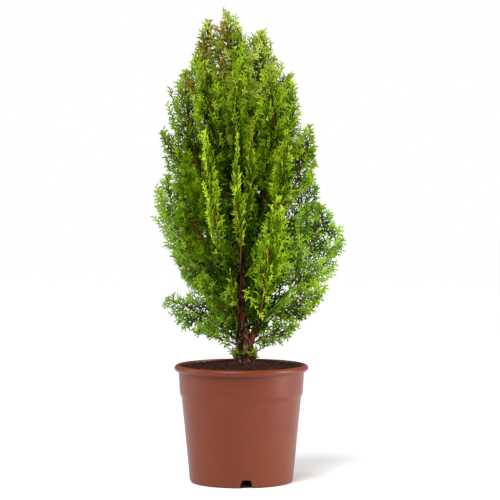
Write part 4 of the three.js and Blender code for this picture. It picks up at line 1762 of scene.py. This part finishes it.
    def tip(self, mass: Growth) -> None:
        """Grow the end of a mass as three sprays side by side.

        Args:
            mass: The mass.
        """
        envelope = mass.envelope
        last, forward = envelope.along(0.86)
        length = max(12 * MM, envelope.reach(last, forward, LOOK_AHEAD) if envelope.depth(last) else 0.0)
        normal = envelope.normal - forward * envelope.normal.dot(forward)
        for lean, share in ((-17, 0.9), (2, 0.85), (15, 0.95)):
            lean = math.radians(lean + self.random.normal(0, 3))
            aim = turned_about(forward, normal.normalized(), lean)
            if self.strayed(last + aim * (length * share)):
                continue
            self.spray(mass, last, aim, normal.normalized(), length * share, self.end_overshoot)

    def fronds(self, mass: Growth, normal: Vector, slant: float) -> None:
        """Grow one layer of a fan: fronds fork off its stem and off one another until it is full.

        Args:
            mass: The mass, whose web keeps the rows apart.
            normal: The normal of the layer's plane.
            slant: How far the fronds lean out of that plane.
        """
        random, envelope, habit = self.random, mass.envelope, mass.habit
        web = envelope.web
        grown: list[Axis] = []
        for _ in range(self.frond_tries):
            if grown and random.random() < self.forking:
                parent = grown[int(len(grown) * random.random() ** 1.5)]
                share = random.uniform(0.15, 0.75)
                base, forward = parent.at(share), parent.ahead(share)
                off = random.uniform(20, 34)
            else:
                share = 0.9 * random.uniform(0.0, 1.0) ** 1.3
                base, forward = envelope.along(share)
                off = random.uniform(14, 76 - 44 * share)
            aside = normal.cross(forward).normalized() * random.choice([-1, 1])
            off = math.radians(off)
            heading = forward * math.cos(off) + aside * math.sin(off) + normal * random.normal(slant, 0.05)
            heading.normalize()
            aim = (heading + UP * habit.lift).normalized()
            length = envelope.mingled(base, aim, self.longest * MM, habit.mingles)
            length *= random.choice(self.cut_back)
            length *= random.uniform(0.84, 1.14)
            row = web.row(base, aim, length)
            if length < self.shortest * MM or not web.free(row) or not envelope.depth(base):
                continue
            if self.strayed(base + aim * length):
                continue
            plane = turned_about((normal - heading * normal.dot(heading)).normalized(), heading,
                                 math.radians(random.normal(0, habit.twist)))
            grown.append(self.spray(mass, base, heading, plane, length, habit.overshoot))
            web.take(row)

    def foot(self, mass: Growth) -> None:
        """Clothe the bare stem below a mass with short sprays, alternately on both sides.

        Args:
            mass: The mass.
        """
        random, envelope = self.random, mass.envelope
        bare = envelope.line[0] - envelope.root
        along = bare.normalized()
        across = envelope.normal.cross(along).normalized()
        count = int(bare.length / (self.foot_gap * MM))
        # Painted shade: the short sprays under a mass take a darker step.
        dull = replace(mass.habit, step=mass.habit.step - self.foot_shade)
        short = Growth(self.open_air, dull)
        for k in range(count):
            base = envelope.root + bare * ((k + random.uniform(0.3, 0.9)) / count)
            near, girth = self.wood.nearest(base)
            if base.z < self.foot_floor * MM or (base - near).length < girth + self.trunk_clear * MM:
                continue
            off = math.radians(random.uniform(28, 42)) * (1 if k % 2 else -1)
            heading = along * math.cos(off) + across * math.sin(off)
            plane = turned_about(envelope.normal, heading, math.radians(random.normal(0, 20)))
            length = random.uniform(*self.foot_lengths) * MM
            self.spray(short, base, heading, plane, length)

    def base(self) -> None:
        """Grow scruffy tufts and a few dead twigs round the foot of the trunk."""
        random = self.random
        foot, girth = self.wood.nearest(Vector((0.0, 0.0, self.tuft_height * MM)))
        for k in range(self.tufts):
            azimuth = k * self.golden
            outward = Vector((math.cos(azimuth), math.sin(azimuth), 0.0))
            start = foot + outward * (girth * 0.85) + UP * (random.uniform(-4, 9) * MM)
            heading = (outward + UP * random.uniform(0.2, 1.3)).normalized()
            normal = turned_about(heading.cross(UP).normalized(), heading, random.uniform(-1, 1))
            tone = Ramp.OLIVE.tone(random.uniform(*self.tuft_steps))
            self.hang(start, heading, normal, random.uniform(*self.tuft_lengths) * MM, tone, 1.0)
        thick, thin = self.dead_girths
        for azimuth, length, rise in self.dead:
            turn = math.radians(azimuth)
            outward = Vector((math.cos(turn), math.sin(turn), 0.0))
            aside = outward.cross(UP)
            start = foot + outward * (girth * 0.7) + UP * (5 * MM)
            line = [start + outward * (length * MM * t) + UP * (length * MM * rise * t ** 1.4)
                    + aside * (1.6 * MM * math.sin(7 * t)) for t in (0.0, 0.2, 0.4, 0.6, 0.8, 1.0)]
            self.twigs.append(Polyline(line, [(thick + (thin - thick) * k / 5) * MM for k in range(6)]))
            fork = line[3] + (outward * 0.6 + UP + aside * 0.4) * (5 * MM)
            self.twigs.append(Polyline([line[3], fork], [0.4 * MM, 0.25 * MM]))

    def cross(self) -> None:
        """Grow the one thin golden spray that hangs across the front of the trunk."""
        aside, height = self.crossing_start
        before = Vector((aside * MM, -0.5, height * MM))
        bark = walls_of(self.wood.lines).ray_cast(before, INWARD)[0]
        base = bark + Vector(self.crossing_offset) * MM
        heading = Vector(self.crossing_way).normalized()
        normal = heading.cross(INWARD.cross(heading)).normalized()
        self.guarded = False
        crossing = Growth(self.open_air, self.crossing)
        self.spray(crossing, base, heading, normal, self.crossing_length * MM)
        self.guarded = True

    def clothe(self) -> None:
        """Grow short sprays straight from the trunk and the stems, so that the crown is dense; their dark
        tone is painted shade inside the crown.
        """
        random = self.random
        inside = Growth(self.open_air, self.inner)
        turn = 0.0
        for name, limb in self.wood.lines.items():
            if name.startswith("bough_"):
                continue
            for a, b in zip(limb.points, limb.points[1:]):
                run = b - a
                along = run.normalized()
                for _ in range(max(1, round(run.length / (self.inner_gap * MM)))):
                    turn += self.golden + random.normal(0, 0.3)
                    base = a + run * random.uniform(0, 1)
                    side = turned_about(along.orthogonal().normalized(), along, turn)
                    off = math.radians(random.uniform(28, 48))
                    heading = (along * math.cos(off) + side * math.sin(off)).normalized()
                    if self.inner_floor * MM < base.z < self.inner_top * MM:
                        self.inner_spray(inside, base, heading)

    def inner_spray(self, inside: Growth, base: Vector, heading: Vector) -> None:
        """Grow one spray inside the crown, dark as painted shade, which ends in the first mass that it meets.

        Args:
            inside: What the inside of the crown grows as.
            base: Where it leaves its limb.
            heading: Its direction.
        """
        hit = self.around.ray_cast(base, heading, self.inner_longest * MM)
        length = self.inner_usual * MM if hit[0] is None else hit[3] + self.inner_shortest * MM
        if self.strayed(base + heading * length):
            length = self.inner_shortest * MM
        normal = heading.cross(UP)
        if normal.length > 0.15:
            self.spray(inside, base, heading, normal.normalized(), length)

    def build(self, stem_bark: Material, bark: Material, skin: Material) -> None:
        """Grow every mass and hand over the leaves and the twigs.

        Args:
            stem_bark: The bark of the masses' middle stems.
            bark: The bark of their twigs.
            skin: The green skin of the twigs' outer parts.
        """
        self.random = np.random.default_rng(self.seed)
        self.around = walls_of(HABITS)
        shelf = self.maker.templates()
        tree = sprig_tree(shelf, palette())
        for name, nodes in CROWN_PIECES.items():
            self.sprigs = Sprigs()
            for node in nodes:
                self.grow(node, HABITS[node])
            if name == "crown_inside":
                self.clothe()
                self.base()
                self.cross()
            LOG.info("%s: %d sprigs", name, len(self.sprigs.places))
            piece = realised(name, self.sprigs.mesh(name + "_points"), tree, {"Stature": 1.0})
            hand_over(piece, "foliage", *nodes)
        for name, lines, woody, sizes in (
                ("crown_stems", self.stems, stem_bark, {"Sides": 8, "Step": 5.0 * MM, "Furrow": 0.3}),
                ("crown_twigs", self.twigs, bark, {"Sides": 4, "Step": 8.0 * MM, "Furrow": 0.0})):
            mesh = polyline_mesh(name + "_lines", lines)
            tubes = tube_tree(name + "_bark", woody, skin)
            hand_over(realised(name, mesh, tubes, {**sizes, "Grain": 2.0 * MM}), "bark")
        for template in list(shelf.objects):
            bpy.data.objects.remove(template)
        bpy.data.collections.remove(shelf)


# ---- studio ----


@dataclass(frozen=True)
class Softbox:
    """One soft rectangular light."""

    name: str
    place: tuple[float, float, float]  # metres
    size: tuple[float, float]
    power: float  # watts


@dataclass
class Studio:
    """A pale floor, soft lights and the camera. Places are in metres."""

    camera_place: tuple[float, float, float] = (0.0122, -3.07, 0.46)
    pitch_down: float = 2.48  # degrees
    lens: float = 157.1  # mm on a 36 mm sensor
    ambience: float = 0.3
    floor_half: float = 9.0
    floor_colour: str = "#FAFAFA"
    aim: tuple[float, float, float] = (0.0, 0.0, 0.3)  # what the softboxes face
    softboxes: tuple[Softbox, ...] = (Softbox("softbox_left", (-1.5, 0.12, 0.75), (0.55, 1.4), 10.0),
                                      Softbox("softbox_right", (1.45, -0.25, 0.6), (0.7, 1.3), 28.0))
    daylight_from: tuple[float, float, float] = (-0.3, -0.62, 1.0)
    daylight_strength: float = 3.0
    daylight_spread: float = 30.0  # degrees, how wide its source looks in the sky

    def stand(self, name: str, data: ID, place: tuple[float, float, float], turn: Euler) -> Object:
        """Stand a light or the camera in the studio.

        Args:
            name: The object's name.
            data: The light or camera data.
            place: Where it stands.
            turn: How it is turned.

        Returns:
            The object.
        """
        stood = bpy.data.objects.new(name, data)
        stood.location = place
        stood.rotation_euler = turn
        bpy.context.scene.collection.objects.link(stood)
        return stood

    def camera(self) -> None:
        """Set the camera."""
        data = bpy.data.cameras.new("camera")
        data.lens = self.lens
        data.sensor_width = 36.0
        data.clip_end = 50.0
        turn = Euler((math.radians(90 - self.pitch_down), 0.0, 0.0))
        bpy.context.scene.camera = self.stand("camera", data, self.camera_place, turn)

    def lights(self) -> None:
        """Hang the softboxes, and the soft even light from above that lights the whole floor alike."""
        for box in self.softboxes:
            data = bpy.data.lights.new(box.name, "AREA")
            data.shape = "RECTANGLE"
            data.size, data.size_y = box.size
            data.energy = box.power
            towards = Vector(self.aim) - Vector(box.place)
            self.stand(box.name, data, box.place, towards.to_track_quat("-Z", "Y").to_euler())
        data = bpy.data.lights.new("daylight", "SUN")
        data.energy = self.daylight_strength
        data.angle = math.radians(self.daylight_spread)
        turn = Vector(self.daylight_from).to_track_quat("Z", "Y").to_euler()
        self.stand("daylight", data, (0.0, 0.0, 0.0), turn)

    def surroundings(self) -> None:
        """Make the white surroundings, which light the plant less than they look."""
        world = bpy.data.worlds.new("studio")
        world.use_nodes = True
        tree = world.node_tree
        add = partial(add_node, tree)
        white = {"Color": (1.0, 1.0, 1.0, 1.0)}
        ambience = tree.nodes["Background"]
        fill(tree, ambience, white | {"Strength": self.ambience})
        backdrop = add("ShaderNodeBackground", white | {"Strength": 1.0})
        seen = out(add("ShaderNodeLightPath"), "Is Camera Ray")
        mixed = add("ShaderNodeMixShader", {0: seen, 1: ambience, 2: backdrop})
        fill(tree, tree.nodes["World Output"], {"Surface": mixed})
        bpy.context.scene.world = world

    def floor(self) -> None:
        """Lay the pale floor."""
        half = self.floor_half
        corners = [(-half, -half, 0), (half, -half, 0), (half, half, 0), (-half, half, 0)]
        floor = placed("floor", mesh_of("floor", corners, [(0, 1, 2, 3)]))
        material = bpy.data.materials.new("pale_floor")
        material.use_nodes = True
        fill(material.node_tree, material.node_tree.nodes["Principled BSDF"],
             {"Base Color": linear(self.floor_colour), "Roughness": 0.9})
        floor.data.materials.append(material)

    def build(self) -> None:
        """Build the stage."""
        bpy.context.scene.view_settings.view_transform = "Standard"
        self.surroundings()
        self.floor()
        self.lights()
        self.camera()


def main() -> None:
    """Build pot, compost, wood and crown in order, then the studio."""
    logging.basicConfig(level=logging.INFO, format="%(name)s: %(message)s")
    bark = Ground("fibrous_bark", ("#0D0502", "#241008", "#502814", "#94643F"), patch=3.4, stretch=7.0)
    skin = Scale("green_twig_bark", "#4F6A0E")
    stem_bark = Scale("tawny_stem_bark", "#684620", roughness=0.7)
    twig_bark = Scale("brown_twig_bark", "#5A401A", roughness=0.7)
    Pot().build(PottedPlastic())
    Compost().build()
    wood = Wood()
    wood.read()
    wood.build(bark.make(), skin.make())
    Crown(wood).build(stem_bark.make(), twig_bark.make(), skin.make())
    Studio().build()


if __name__ == "__main__":
    main()
